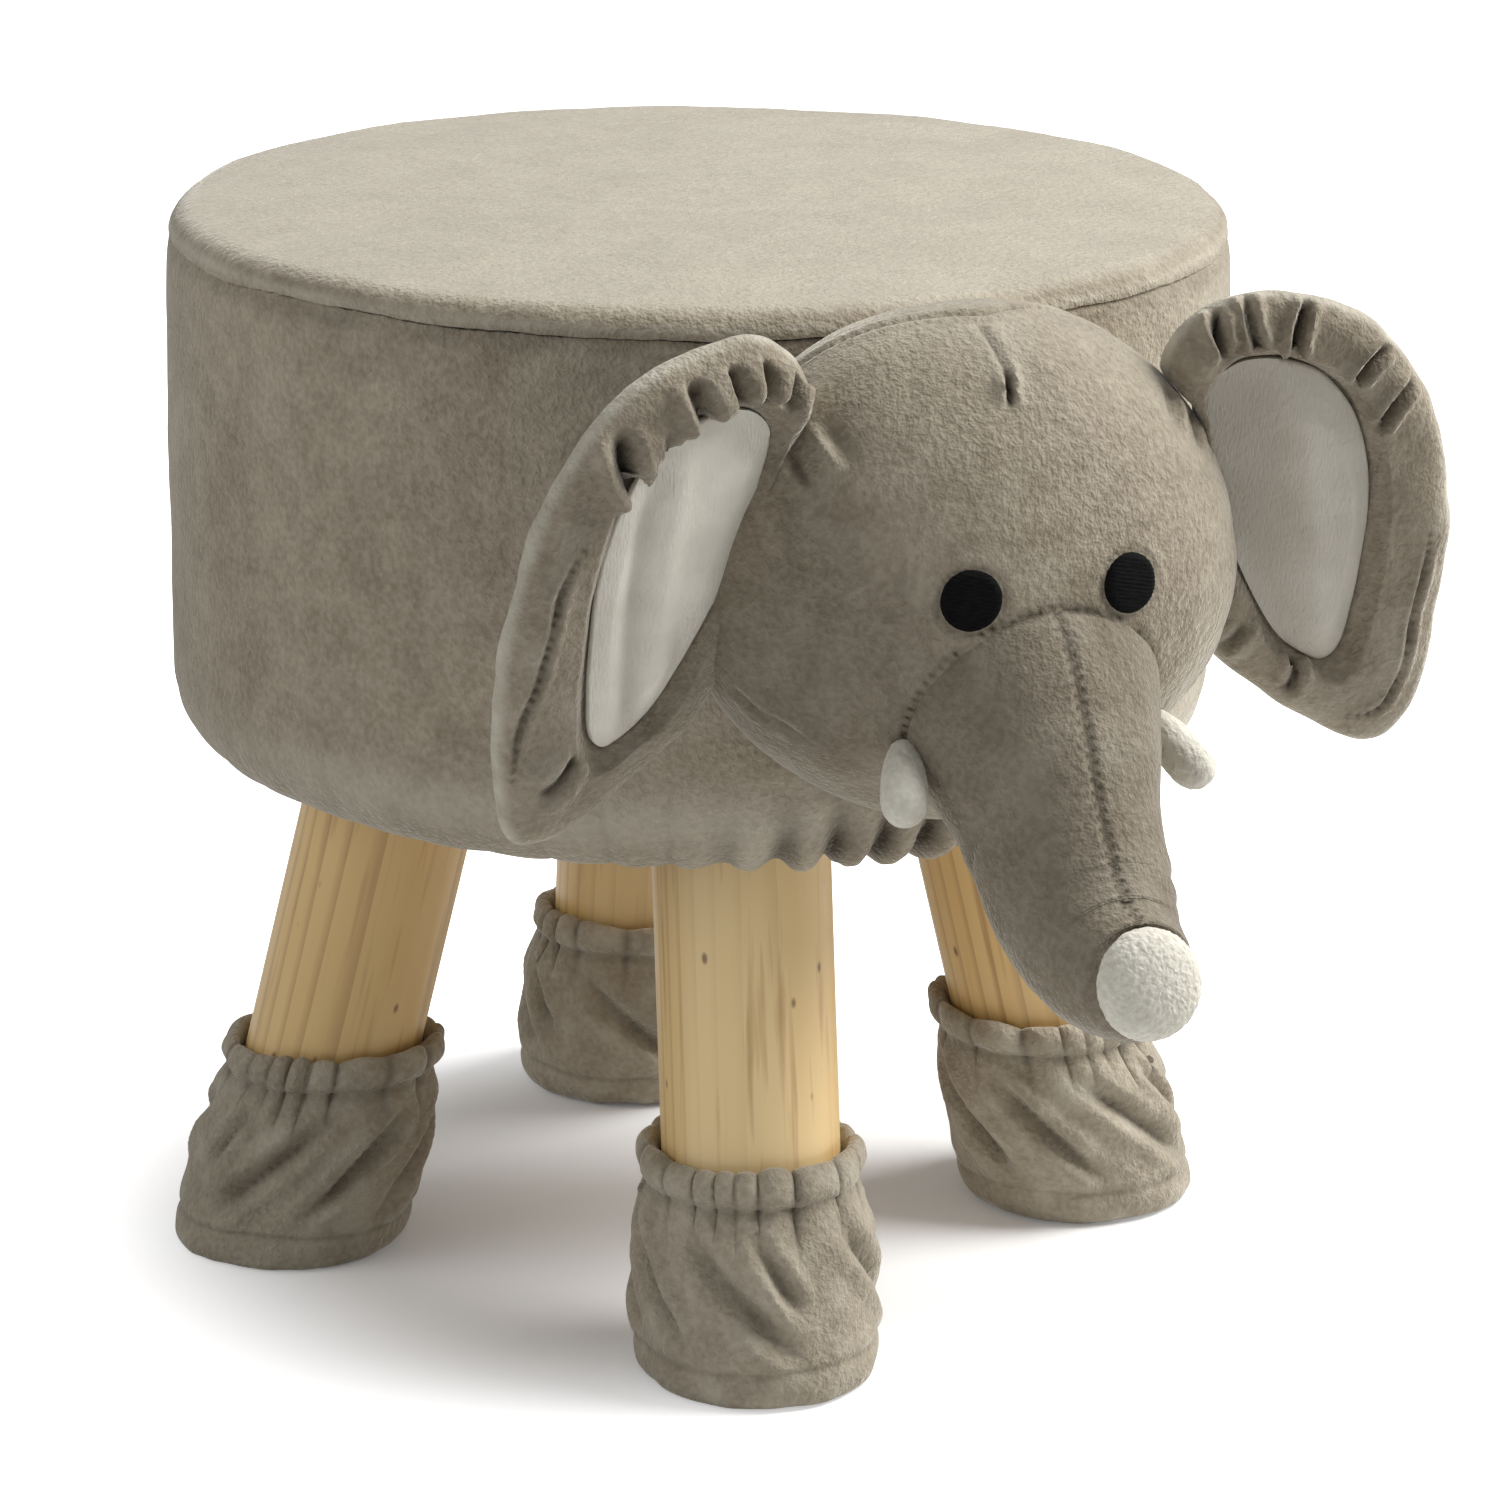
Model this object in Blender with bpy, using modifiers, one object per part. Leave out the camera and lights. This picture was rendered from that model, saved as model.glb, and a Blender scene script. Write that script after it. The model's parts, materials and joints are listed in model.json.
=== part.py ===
"""Elephant footstool: a padded round seat in a plush cover with a stuffed head, on four pine legs.

The stool stands on the floor at Z = 0 and faces -Y, so its own left is +X.
Every length is in metres.
"""
import math

import bmesh
import bpy
from mathutils import Matrix, Vector

# Fits shared by all pieces
CLEARANCE = 0.0003
OVERRUN = 0.010
MERGE_DISTANCE = 0.00001
SMOOTH_ANGLE = math.radians(40)

# Seat: side, crown and rolled edge of the cover
SEAT_RADIUS = 0.140
SEAT_SIDE_HEIGHT = 0.128
EDGE_ROLL_HEIGHT = 0.0055
EDGE_ROLL_WIDTH = 0.010
CROWN_RISE = 0.003
SIDE_DRAW_IN = 0.0015
LOWER_EDGE_RADIUS = 0.021
COVER_THICKNESS = 0.003
COVER_DROP = 0.0115
SIDE_BULGE_SHARES = ((0.94, 0.6), (0.80, 1.0), (0.45, 1.0))
SEAT_SEGMENTS = 40
CROWN_STEPS = 4
ROLL_STEPS = 3

# Gathered hem under the seat, and the elastic that draws it in
HEM_START_ANGLE = math.radians(32)
HEM_TURN_UNDER = 0.0156
HEM_CLOTH = 0.0022
HEM_PLEATS = 26
HEM_PLEAT_DEPTH = 0.0009
HEM_FRONT_PLEAT_DEPTH = 0.0028
HEM_FRONT_SAG = 0.0035
HEM_FRONT_SPAN = math.radians(34)
HEM_ARC_STEPS = 3
HEM_PLEAT_SHARES = (0.0, 0.7, 1.0, 0.9, 0.4)
HEM_SAG_SHARES = (0.0, 0.5, 1.0, 1.0, 0.5)
HEM_ELASTIC_WIDTH = 0.004
HEM_ELASTIC_THICKNESS = 0.0012

# Board and its fastenings
BOARD_UNDERSIDE = 0.153
BOARD_THICKNESS = 0.015
BOARD_INSET = 0.030
BOARD_CHAMFER = 0.0015
BOLT_RADIUS = 0.004
BOLT_LENGTH_IN_LEG = 0.028
BOLT_END_BELOW_BOARD_TOP = 0.001
BOLT_POINT_LENGTH = 0.006
NUT_FLANGE_RADIUS = 0.010
NUT_FLANGE_THICKNESS = 0.0016
NUT_BARREL_RADIUS = 0.0055
NUT_BARREL_LENGTH = 0.011
FASTENER_SEGMENTS = 12

# Legs
LEG_RADIUS = 0.0234
LEG_SPLAY = math.radians(13.4)
LEG_TURN = math.radians(-14.4)
LEG_NAMES = ("front", "left", "back", "right")
LEG_SEGMENTS = 28

# Booties
BOOTIE_HEIGHT = 0.0585
BOOTIE_RADIUS = 0.0325
BOOTIE_CLOTH = 0.0025
BOOTIE_HEIGHT_SHARES = (1.0, 0.86, 0.72, 0.46, 0.14, 0.01)
BOOTIE_RADIUS_SHARES = (0.915, 0.868, 0.925, 0.98, 1.0, 0.955)
BOOTIE_FOLD_SHARES = (0.0, 0.1, 0.9, 1.0, 0.5, 0.0)
BOOTIE_FRILL_SHARES = (1.0, 0.25, 0.0, 0.0, 0.0, 0.0)
BOOTIE_FOLDS = 5
BOOTIE_FOLD_DEPTH = 0.0012
BOOTIE_FOLD_TWIST = math.radians(50)
BOOTIE_FRILLS = 7
BOOTIE_FRILL_DEPTH = 0.0010
BOOTIE_SEGMENTS = 28
SOLE_THICKNESS = 0.003
BAND_SHARE = 0.82
BAND_WIDTH = 0.004
BAND_THICKNESS = 0.0010

# Head
HEAD_HALF_WIDTH = 0.070
HEAD_HALF_DEPTH = 0.050
HEAD_HALF_HEIGHT = 0.064
HEAD_STANDOFF = 0.022
HEAD_BELOW_SEAM = 0.052
HEAD_CHEEK_SWELL = 0.0020
HEAD_CHEEK_HEIGHT_SHARE = -0.32
HEAD_CHEEK_BAND_SHARE = 0.4
HEAD_SEGMENTS = 32
HEAD_RINGS = 16

# Trunk, from inside the face to the cap at its end
TRUNK_ROOT_RADIUS = 0.034
TRUNK_REACH = 0.094
TRUNK_DROP = 0.061
TRUNK_ROOT_INSET = 0.006
TRUNK_ROOT_BELOW_CENTRE = 0.017
TRUNK_FORWARD_SHARES = (0.0, 0.262, 0.414, 0.537, 0.668, 0.809, 0.947, 1.0)
TRUNK_DROP_SHARES = (0.0, 0.148, 0.361, 0.596, 0.844, 0.972, 0.998, 0.985)
TRUNK_RADIUS_SHARES = (1.0, 0.954, 0.809, 0.656, 0.595, 0.519, 0.431, 0.340)
TRUNK_WIDE_PLACE_SHARES = (0.0, 0.26, 0.41, 0.81, 0.95)
TRUNK_WIDE_SHARES = (1.01, 1.04, 1.09, 1.10, 1.05)
TRUNK_STEPS_PER_SPAN = 2
TRUNK_BEVEL_RESOLUTION = 7
TIP_RADIUS = 0.0133
TIP_RISE = 0.008
TIP_FLAT_SHARE = 0.04
TIP_SEGMENTS = 16

# Tusks
TUSK_RADIUS = 0.0057
TUSK_LENGTH = 0.024
TUSK_TIP_SPREAD = 0.0404
TUSK_TIP_FORWARD = 0.0538
TUSK_TIP_BELOW_CENTRE = 0.0465
TUSK_TILT_OUT = math.radians(19)
TUSK_TILT_FORWARD = math.radians(51.7)
TUSK_RADIUS_SHARES = (0.35, 0.62, 0.86, 0.97, 1.0)
TUSK_SEGMENTS = 14
TUSK_END_STEPS = 4

# Eyes
EYE_RADIUS = 0.0075
EYE_THICKNESS = 0.0008
EYE_SPREAD = 0.0208
EYE_RISE = 0.004
EYE_SEGMENTS = 16
EYE_RINGS = 4

# Ears
EAR_WIDTH = 0.0785
EAR_HEIGHT = 0.126
EAR_ROLL = 0.0055
EAR_FIELD = 0.0028
EAR_BACK = 0.0050
EAR_BACK_ROUNDING = 0.35
EAR_YAW = math.radians(12)
EAR_LEAN = math.radians(12.5)
EAR_ROOT_RISE = 0.030
EAR_ROOT_FORWARD = 0.010
EAR_ROOT_GAP = 0.0005
EAR_SWING_BACK = math.radians(25)
EAR_SWING_FORWARD = math.radians(20)
EAR_CENTRE_SHARES = (0.391, -0.240)
EAR_OUTLINE_SHARES = (
    (0.462, -0.111), (0.443, 0.071), (0.376, 0.238), (0.268, 0.369), (0.102, 0.464), (-0.115, 0.512),
    (-0.293, 0.528), (-0.433, 0.492), (-0.510, 0.444), (-0.535, 0.365), (-0.446, 0.317), (-0.401, 0.198),
    (-0.360, 0.060), (-0.345, -0.085), (-0.335, -0.215), (-0.225, -0.300), (0.076, -0.425), (0.242, -0.472),
    (0.367, -0.437), (0.443, -0.278))
LINING_OUTLINE_SHARES = (
    (0.160, -0.063), (0.166, 0.062), (0.140, 0.175), (0.076, 0.278), (-0.038, 0.357), (-0.150, 0.385),
    (-0.250, 0.392), (-0.325, 0.380), (-0.385, 0.345), (-0.395, 0.300), (-0.380, 0.235), (-0.350, 0.140),
    (-0.310, 0.045), (-0.255, -0.030), (-0.166, -0.135), (-0.080, -0.215), (0.020, -0.262), (0.080, -0.270),
    (0.125, -0.235), (0.148, -0.150))
LINING_RING_SHARE = 0.5
LINING_EDGE_SHARE = 0.97
LINING_THICKNESS = 0.0012
EAR_SEGMENTS = 30
EAR_RINGS = 12
LINING_RINGS = 6

# Heights and radii that several pieces share
SEAM_HEIGHT = BOARD_UNDERSIDE + SEAT_SIDE_HEIGHT
SEAM_RADIUS = SEAT_RADIUS - SIDE_DRAW_IN
EDGE_TOP = SEAM_HEIGHT + EDGE_ROLL_HEIGHT
ROLL_START = SEAT_RADIUS - EDGE_ROLL_WIDTH
LOWER_ARC_RADIUS = SEAT_RADIUS - LOWER_EDGE_RADIUS
LOWER_ARC_HEIGHT = BOARD_UNDERSIDE - COVER_DROP + LOWER_EDGE_RADIUS
BOARD_RADIUS = SEAT_RADIUS - BOARD_INSET
BOARD_TOP = BOARD_UNDERSIDE + BOARD_THICKNESS
HEM_BOTTOM = BOARD_UNDERSIDE - COVER_DROP
HEM_INNER_RADIUS = LOWER_ARC_RADIUS - HEM_TURN_UNDER
LEG_SECTION = LEG_RADIUS / math.cos(LEG_SPLAY)
LEG_TOP_CIRCLE = (HEM_INNER_RADIUS - 2 * CLEARANCE - LEG_SECTION
                  - (BOARD_UNDERSIDE - HEM_BOTTOM) * math.tan(LEG_SPLAY))
FOOT_CIRCLE = LEG_TOP_CIRCLE + BOARD_UNDERSIDE * math.tan(LEG_SPLAY)
HEAD_CENTRE = Vector((0, -SEAT_RADIUS - HEAD_STANDOFF, SEAM_HEIGHT - HEAD_BELOW_SEAM))
HEAD_SIZE = Vector((HEAD_HALF_WIDTH, HEAD_HALF_DEPTH, HEAD_HALF_HEIGHT))


def clear_scene():
    """Remove whatever the file opened with."""
    for thing in list(bpy.data.objects):
        bpy.data.objects.remove(thing, do_unlink=True)


def new_collection(name):
    made = bpy.data.collections.new(name)
    bpy.context.scene.collection.children.link(made)
    return made


def finish_of(name, colour, roughness, metallic=0.0):
    """One Principled material."""
    made = bpy.data.materials.new(name)
    made.use_nodes = True
    shader = made.node_tree.nodes["Principled BSDF"]
    shader.inputs["Base Color"].default_value = (*colour, 1)
    shader.inputs["Roughness"].default_value = roughness
    shader.inputs["Metallic"].default_value = metallic
    made.diffuse_color = (*colour, 1)
    return made


clear_scene()
PARTS = new_collection("elephant_footstool")
CUTTERS = new_collection("cutters")
PLUSH = finish_of("grey plush", (0.29, 0.26, 0.225), 0.9)
PALE_PLUSH = finish_of("off-white plush", (0.78, 0.75, 0.70), 0.9)
SATIN = finish_of("off-white satin", (0.74, 0.72, 0.68), 0.5)
EMBROIDERY = finish_of("black embroidery", (0.012, 0.012, 0.013), 0.7)
PINE = finish_of("pale pine", (0.73, 0.50, 0.26), 0.5)
BOARD = finish_of("board", (0.45, 0.33, 0.20), 0.8)
FOAM = finish_of("foam", (0.85, 0.80, 0.62), 0.95)
STEEL = finish_of("zinc-plated steel", (0.62, 0.63, 0.65), 0.35, 1.0)
ELASTIC = finish_of("elastic", (0.85, 0.85, 0.83), 0.8)

STOOL = bpy.data.objects.new("stool", None)
PARTS.objects.link(STOOL)


def place(name, mesh, finish, at=Matrix.Identity(4)):
    """Link one sub-part, with its own finish, at its place on the stool."""
    made = bpy.data.objects.new(name, mesh)
    mesh.materials.append(finish)
    PARTS.objects.link(made)
    made.parent = STOOL
    made.matrix_local = at
    return made


def cutter_of(name, mesh, at=Matrix.Identity(4)):
    made = bpy.data.objects.new(name, mesh)
    CUTTERS.objects.link(made)
    made.parent = STOOL
    made.matrix_local = at
    made.hide_render = True
    made.display_type = "WIRE"
    return made


def cut(piece, *cutters):
    """Take the cutters' space out of a piece."""
    for cutter in cutters:
        boolean = piece.modifiers.new(cutter.name, "BOOLEAN")
        boolean.operation = "DIFFERENCE"
        boolean.solver = "EXACT"
        boolean.object = cutter


def mesh_of(shape, name, closed=True):
    """Turn a finished bmesh into a mesh. A closed one gets its faces turned outwards."""
    bmesh.ops.remove_doubles(shape, verts=shape.verts, dist=MERGE_DISTANCE)
    if closed:
        bmesh.ops.recalc_face_normals(shape, faces=shape.faces)
    mesh = bpy.data.meshes.new(name)
    shape.to_mesh(mesh)
    shape.free()
    mesh.shade_smooth()
    mesh.set_sharp_from_angle(angle=SMOOTH_ANGLE)
    return mesh


def profile_mesh(name, points, closed):
    """A line of (radius, height) points in the XZ plane, run down its outer side."""
    mesh = bpy.data.meshes.new(name)
    edges = [(i, i + 1) for i in range(len(points) - 1)]
    if closed:
        edges.append((len(points) - 1, 0))
    mesh.from_pydata([(radius, 0, height) for radius, height in points], edges, [])
    return mesh


def turned(name, points, finish, steps, closed=False, at=Matrix.Identity(4)):
    """Turn a profile round Z. It starts and ends on the axis, or it is closed and makes a ring."""
    piece = place(name, profile_mesh(name, points, closed), finish, at)
    screw = piece.modifiers.new("turn", "SCREW")
    screw.steps = steps
    screw.render_steps = steps
    screw.use_merge_vertices = True
    screw.merge_threshold = MERGE_DISTANCE
    screw.use_smooth_shade = True
    return piece


def thicken(piece, wall):
    """Give an open surface a wall, inwards."""
    shell = piece.modifiers.new("wall", "SOLIDIFY")
    shell.thickness = wall
    shell.offset = -1


def spun_rows(points, steps):
    """Spin a profile and return the bmesh, whose rows are then gathered or folded."""
    shape = bmesh.new()
    line = [shape.verts.new((radius, 0, height)) for radius, height in points]
    edges = [shape.edges.new(pair) for pair in zip(line, line[1:])]
    bmesh.ops.spin(shape, geom=line + edges, cent=(0, 0, 0), axis=(0, 0, 1),
                   angle=2 * math.pi, steps=steps, use_merge=True)
    return shape


def shaped_ball(name, segments, rings, form):
    """A UV sphere of radius 1 whose points are moved by a form."""
    shape = bmesh.new()
    bmesh.ops.create_uvsphere(shape, u_segments=segments, v_segments=rings, radius=1)
    for vert in shape.verts:
        vert.co = form(vert.co.copy())
    return mesh_of(shape, name)


def smooth_between(values, spans):
    """Read a smooth curve through a row of values, so many steps a span."""
    made = []
    last = len(values) - 1
    for index in range(last):
        before, start = values[max(index - 1, 0)], values[index]
        end, after = values[index + 1], values[min(index + 2, last)]
        for step in range(spans):
            t = step / spans
            made.append(0.5 * (2 * start + (end - before) * t
                               + (2 * before - 5 * start + 4 * end - after) * t * t
                               + (3 * start - before - 3 * end + after) * t ** 3))
    made.append(values[last])
    return made


def crown_height(radius, below=0.0):
    """Height of the crowned top at a radius, or of a layer that lies below it."""
    return EDGE_TOP + CROWN_RISE * (1 - (radius / ROLL_START) ** 2) - below


def edge_roll(below=0.0):
    """The rolled edge from the crown down to the seam, or a layer that lies below it."""
    width = SEAM_RADIUS - ROLL_START - below
    height = EDGE_ROLL_HEIGHT - below
    turns = [math.pi / 2 * step / ROLL_STEPS for step in range(1, ROLL_STEPS + 1)]
    return [(ROLL_START + width * math.sin(turn), SEAM_HEIGHT + height * math.cos(turn)) for turn in turns]


def lower_arc(radius, start, end, steps):
    """The rounded lower edge, between two angles below the horizontal."""
    angles = [start + (end - start) * step / steps for step in range(steps + 1)]
    return [(LOWER_ARC_RADIUS + radius * math.cos(angle), LOWER_ARC_HEIGHT - radius * math.sin(angle))
            for angle in angles]


def make_cover():
    """Top panel and side panel, which meet at the seam."""
    radii = [ROLL_START * step / CROWN_STEPS for step in range(CROWN_STEPS + 1)]
    outside = [(radius, crown_height(radius)) for radius in radii] + edge_roll()
    inside = [(radius, crown_height(radius, COVER_THICKNESS)) for radius in radii]
    inside += edge_roll(COVER_THICKNESS)
    turned("top_panel", outside + inside[::-1], PLUSH, SEAT_SEGMENTS)

    straight = SEAM_HEIGHT - LOWER_ARC_HEIGHT
    rises = [(SEAM_RADIUS + SIDE_DRAW_IN * bulge, LOWER_ARC_HEIGHT + straight * share)
             for share, bulge in SIDE_BULGE_SHARES]
    rises.insert(0, (SEAM_RADIUS, SEAM_HEIGHT - CLEARANCE))
    outside = rises + lower_arc(LOWER_EDGE_RADIUS, 0, HEM_START_ANGLE, ROLL_STEPS)
    inside = [(radius - COVER_THICKNESS, height) for radius, height in rises]
    inside += lower_arc(LOWER_EDGE_RADIUS - COVER_THICKNESS, 0, HEM_START_ANGLE, ROLL_STEPS)
    turned("side_panel", outside + inside[::-1], PLUSH, SEAT_SEGMENTS, closed=True)


def under_head(angle):
    """How near an angle round the seat is to the head: 1 straight under it, 0 away from it."""
    from_front = abs(math.remainder(angle + math.pi / 2, 2 * math.pi))
    return max(0.0, math.cos(min(from_front / HEM_FRONT_SPAN, 1) * math.pi / 2))


def hem_pleat(angle):
    """Depth of the hem's pleats at an angle round the seat: deepest under the head."""
    wave = 0.5 - 0.5 * math.cos(HEM_PLEATS * angle)
    return wave * (HEM_PLEAT_DEPTH + HEM_FRONT_PLEAT_DEPTH * under_head(angle))


def hem_rows(below):
    """The hem's outer layer, or its inner one, as points of its profile from its seam to its edge."""
    start = HEM_START_ANGLE + CLEARANCE / LOWER_EDGE_RADIUS
    rows = lower_arc(LOWER_EDGE_RADIUS - below, start, math.pi / 2, HEM_ARC_STEPS)
    return rows + [(HEM_INNER_RADIUS, HEM_BOTTOM + below)]


def make_hem():
    """The gathered lower band of the cover, turned under the board, and its elastic."""
    rows = hem_rows(0) + hem_rows(HEM_CLOTH)[::-1]
    pleats = HEM_PLEAT_SHARES + HEM_PLEAT_SHARES[::-1]
    sags = HEM_SAG_SHARES + HEM_SAG_SHARES[::-1]
    shape = spun_rows(rows + rows[:1], 4 * HEM_PLEATS)
    for vert in shape.verts:
        radius = math.hypot(vert.co.x, vert.co.y)
        row = min(range(len(rows)), key=lambda i: math.dist(rows[i], (radius, vert.co.z)))
        angle = math.atan2(vert.co.y, vert.co.x)
        inwards = Vector((LOWER_ARC_RADIUS - rows[row][0], LOWER_ARC_HEIGHT - rows[row][1])).normalized()
        if row in (len(rows) // 2 - 1, len(rows) // 2):
            inwards = Vector((0, 1))
        spot = Vector(rows[row]) + inwards * hem_pleat(angle) * pleats[row]
        spot.y -= HEM_FRONT_SAG * under_head(angle) * sags[row]
        vert.co = (spot.x * math.cos(angle), spot.x * math.sin(angle), spot.y)
    place("hem", mesh_of(shape, "hem"), PLUSH)

    low = HEM_BOTTOM + HEM_CLOTH + HEM_PLEAT_DEPTH * HEM_PLEAT_SHARES[-1] + CLEARANCE
    inner = HEM_INNER_RADIUS + CLEARANCE
    outer = inner + HEM_ELASTIC_WIDTH
    high = low + HEM_ELASTIC_THICKNESS
    ring = [(outer, high), (outer, low), (inner, low), (inner, high)]
    turned("hem_elastic", ring, ELASTIC, SEAT_SEGMENTS, closed=True)


def make_foam():
    """The foam block, crowned under the cover and hollowed to sit over the board."""
    below = COVER_THICKNESS + CLEARANCE
    radii = [ROLL_START * step / CROWN_STEPS for step in range(CROWN_STEPS + 1)]
    profile = [(radius, crown_height(radius, below)) for radius in radii] + edge_roll(below)
    arc_radius = (LOWER_EDGE_RADIUS - COVER_THICKNESS - CLEARANCE
                  - HEM_PLEAT_DEPTH - HEM_FRONT_PLEAT_DEPTH)
    profile.append((SEAM_RADIUS - below, LOWER_ARC_HEIGHT + LOWER_EDGE_RADIUS / 2))
    profile += lower_arc(arc_radius, 0, math.pi / 2, ROLL_STEPS)
    recess = BOARD_RADIUS + CLEARANCE
    profile.append((recess, LOWER_ARC_HEIGHT - arc_radius))
    profile.append((recess, BOARD_TOP + CLEARANCE))
    profile.append((0, BOARD_TOP + CLEARANCE))
    turned("seat_foam", profile, FOAM, SEAT_SEGMENTS)


def leg_frame(index):
    """Place on the floor under one leg's foot, with +X pointing away from the stool's middle."""
    turn = LEG_TURN + index * 2 * math.pi / len(LEG_NAMES)
    foot = Vector((FOOT_CIRCLE * math.sin(turn), -FOOT_CIRCLE * math.cos(turn), 0))
    return Matrix.Translation(foot) @ Matrix.Rotation(turn - math.pi / 2, 4, "Z")


def bolt_frame(index):
    """Place on the floor straight under one leg's bolt."""
    return leg_frame(index) @ Matrix.Translation((LEG_TOP_CIRCLE - FOOT_CIRCLE, 0, 0))


def leg_slope(height):
    """How far inwards the leg's axis has come at a height."""
    return -height * math.tan(LEG_SPLAY)


def make_board():
    """The round board with a stepped hole for each tee nut."""
    edge = BOARD_RADIUS - BOARD_CHAMFER
    profile = [(0, BOARD_TOP), (edge, BOARD_TOP), (BOARD_RADIUS, BOARD_TOP - BOARD_CHAMFER),
               (BOARD_RADIUS, BOARD_UNDERSIDE + BOARD_CHAMFER), (edge, BOARD_UNDERSIDE),
               (0, BOARD_UNDERSIDE)]
    board = turned("base_board", profile, BOARD, SEAT_SEGMENTS)
    pocket = BOARD_TOP - NUT_FLANGE_THICKNESS - 2 * CLEARANCE
    wide = NUT_FLANGE_RADIUS + CLEARANCE
    narrow = NUT_BARREL_RADIUS + CLEARANCE
    step = [(0, BOARD_TOP + OVERRUN), (wide, BOARD_TOP + OVERRUN), (wide, pocket), (narrow, pocket),
            (narrow, BOARD_UNDERSIDE - OVERRUN), (0, BOARD_UNDERSIDE - OVERRUN)]
    for index, name in enumerate(LEG_NAMES):
        mesh = profile_mesh("nut_hole_" + name, step, False)
        hole = cutter_of("nut_hole_" + name, mesh, bolt_frame(index))
        screw = hole.modifiers.new("turn", "SCREW")
        screw.steps = FASTENER_SEGMENTS
        screw.render_steps = FASTENER_SEGMENTS
        screw.use_merge_vertices = True
        screw.merge_threshold = MERGE_DISTANCE
        cut(board, hole)


def make_fastenings(index, name):
    """A hanger bolt upright in the leg's top, and the tee nut that it screws into."""
    at = bolt_frame(index)
    top = BOARD_TOP - BOLT_END_BELOW_BOARD_TOP
    bottom = BOARD_UNDERSIDE - BOLT_LENGTH_IN_LEG
    bolt = [(0, top), (BOLT_RADIUS - BOARD_CHAMFER, top), (BOLT_RADIUS, top - BOARD_CHAMFER),
            (BOLT_RADIUS, bottom + BOLT_POINT_LENGTH), (0, bottom)]
    turned("hanger_bolt_" + name, bolt, STEEL, FASTENER_SEGMENTS, at=at)

    bore = BOLT_RADIUS + CLEARANCE
    flange_top = BOARD_TOP - CLEARANCE
    flange_low = flange_top - NUT_FLANGE_THICKNESS
    barrel_low = flange_low - NUT_BARREL_LENGTH
    nut = [(NUT_FLANGE_RADIUS, flange_top), (NUT_FLANGE_RADIUS, flange_low),
           (NUT_BARREL_RADIUS, flange_low), (NUT_BARREL_RADIUS, barrel_low),
           (bore, barrel_low), (bore, flange_top)]
    turned("tee_nut_" + name, nut, STEEL, FASTENER_SEGMENTS, closed=True, at=at)


def make_leg(index, name):
    """A round leg on its slant, cut level at the board and above the sole, and bored for its bolt."""
    length = (BOARD_UNDERSIDE + 2 * OVERRUN + 2 * LEG_RADIUS) / math.cos(LEG_SPLAY)
    shape = bmesh.new()
    bmesh.ops.create_cone(shape, cap_ends=True, segments=LEG_SEGMENTS, radius1=LEG_RADIUS,
                          radius2=LEG_RADIUS, depth=length)
    middle = Vector((leg_slope(BOARD_UNDERSIDE / 2), 0, BOARD_UNDERSIDE / 2))
    lean = Matrix.Translation(middle) @ Matrix.Rotation(-LEG_SPLAY, 4, "Y")
    bmesh.ops.transform(shape, matrix=lean, verts=shape.verts)
    for height, normal in ((BOARD_UNDERSIDE - CLEARANCE, 1), (SOLE_THICKNESS + CLEARANCE, -1)):
        everything = shape.verts[:] + shape.edges[:] + shape.faces[:]
        sawn = bmesh.ops.bisect_plane(shape, geom=everything, plane_co=(0, 0, height),
                                      plane_no=(0, 0, normal), clear_outer=True)
        rim = [part for part in sawn["geom_cut"] if isinstance(part, bmesh.types.BMEdge)]
        bmesh.ops.edgeloop_fill(shape, edges=rim)
    leg = place("leg_" + name, mesh_of(shape, "leg"), PINE, leg_frame(index))

    bore = bmesh.new()
    radius = BOLT_RADIUS + CLEARANCE
    bottom = BOARD_UNDERSIDE - BOLT_LENGTH_IN_LEG - CLEARANCE
    depth = BOARD_UNDERSIDE + OVERRUN - bottom
    bmesh.ops.create_cone(bore, cap_ends=True, segments=FASTENER_SEGMENTS, radius1=radius,
                          radius2=radius, depth=depth)
    bmesh.ops.translate(bore, verts=bore.verts, vec=(0, 0, bottom + depth / 2))
    cut(leg, cutter_of("bolt_bore_" + name, mesh_of(bore, "bolt_bore"), bolt_frame(index)))


def slanted(radius, angle, height):
    """A point round the leg's axis at a height, on an outline that follows the slanting leg."""
    return Vector((leg_slope(height) + radius * math.cos(angle) / math.cos(LEG_SPLAY),
                   radius * math.sin(angle), height))


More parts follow.
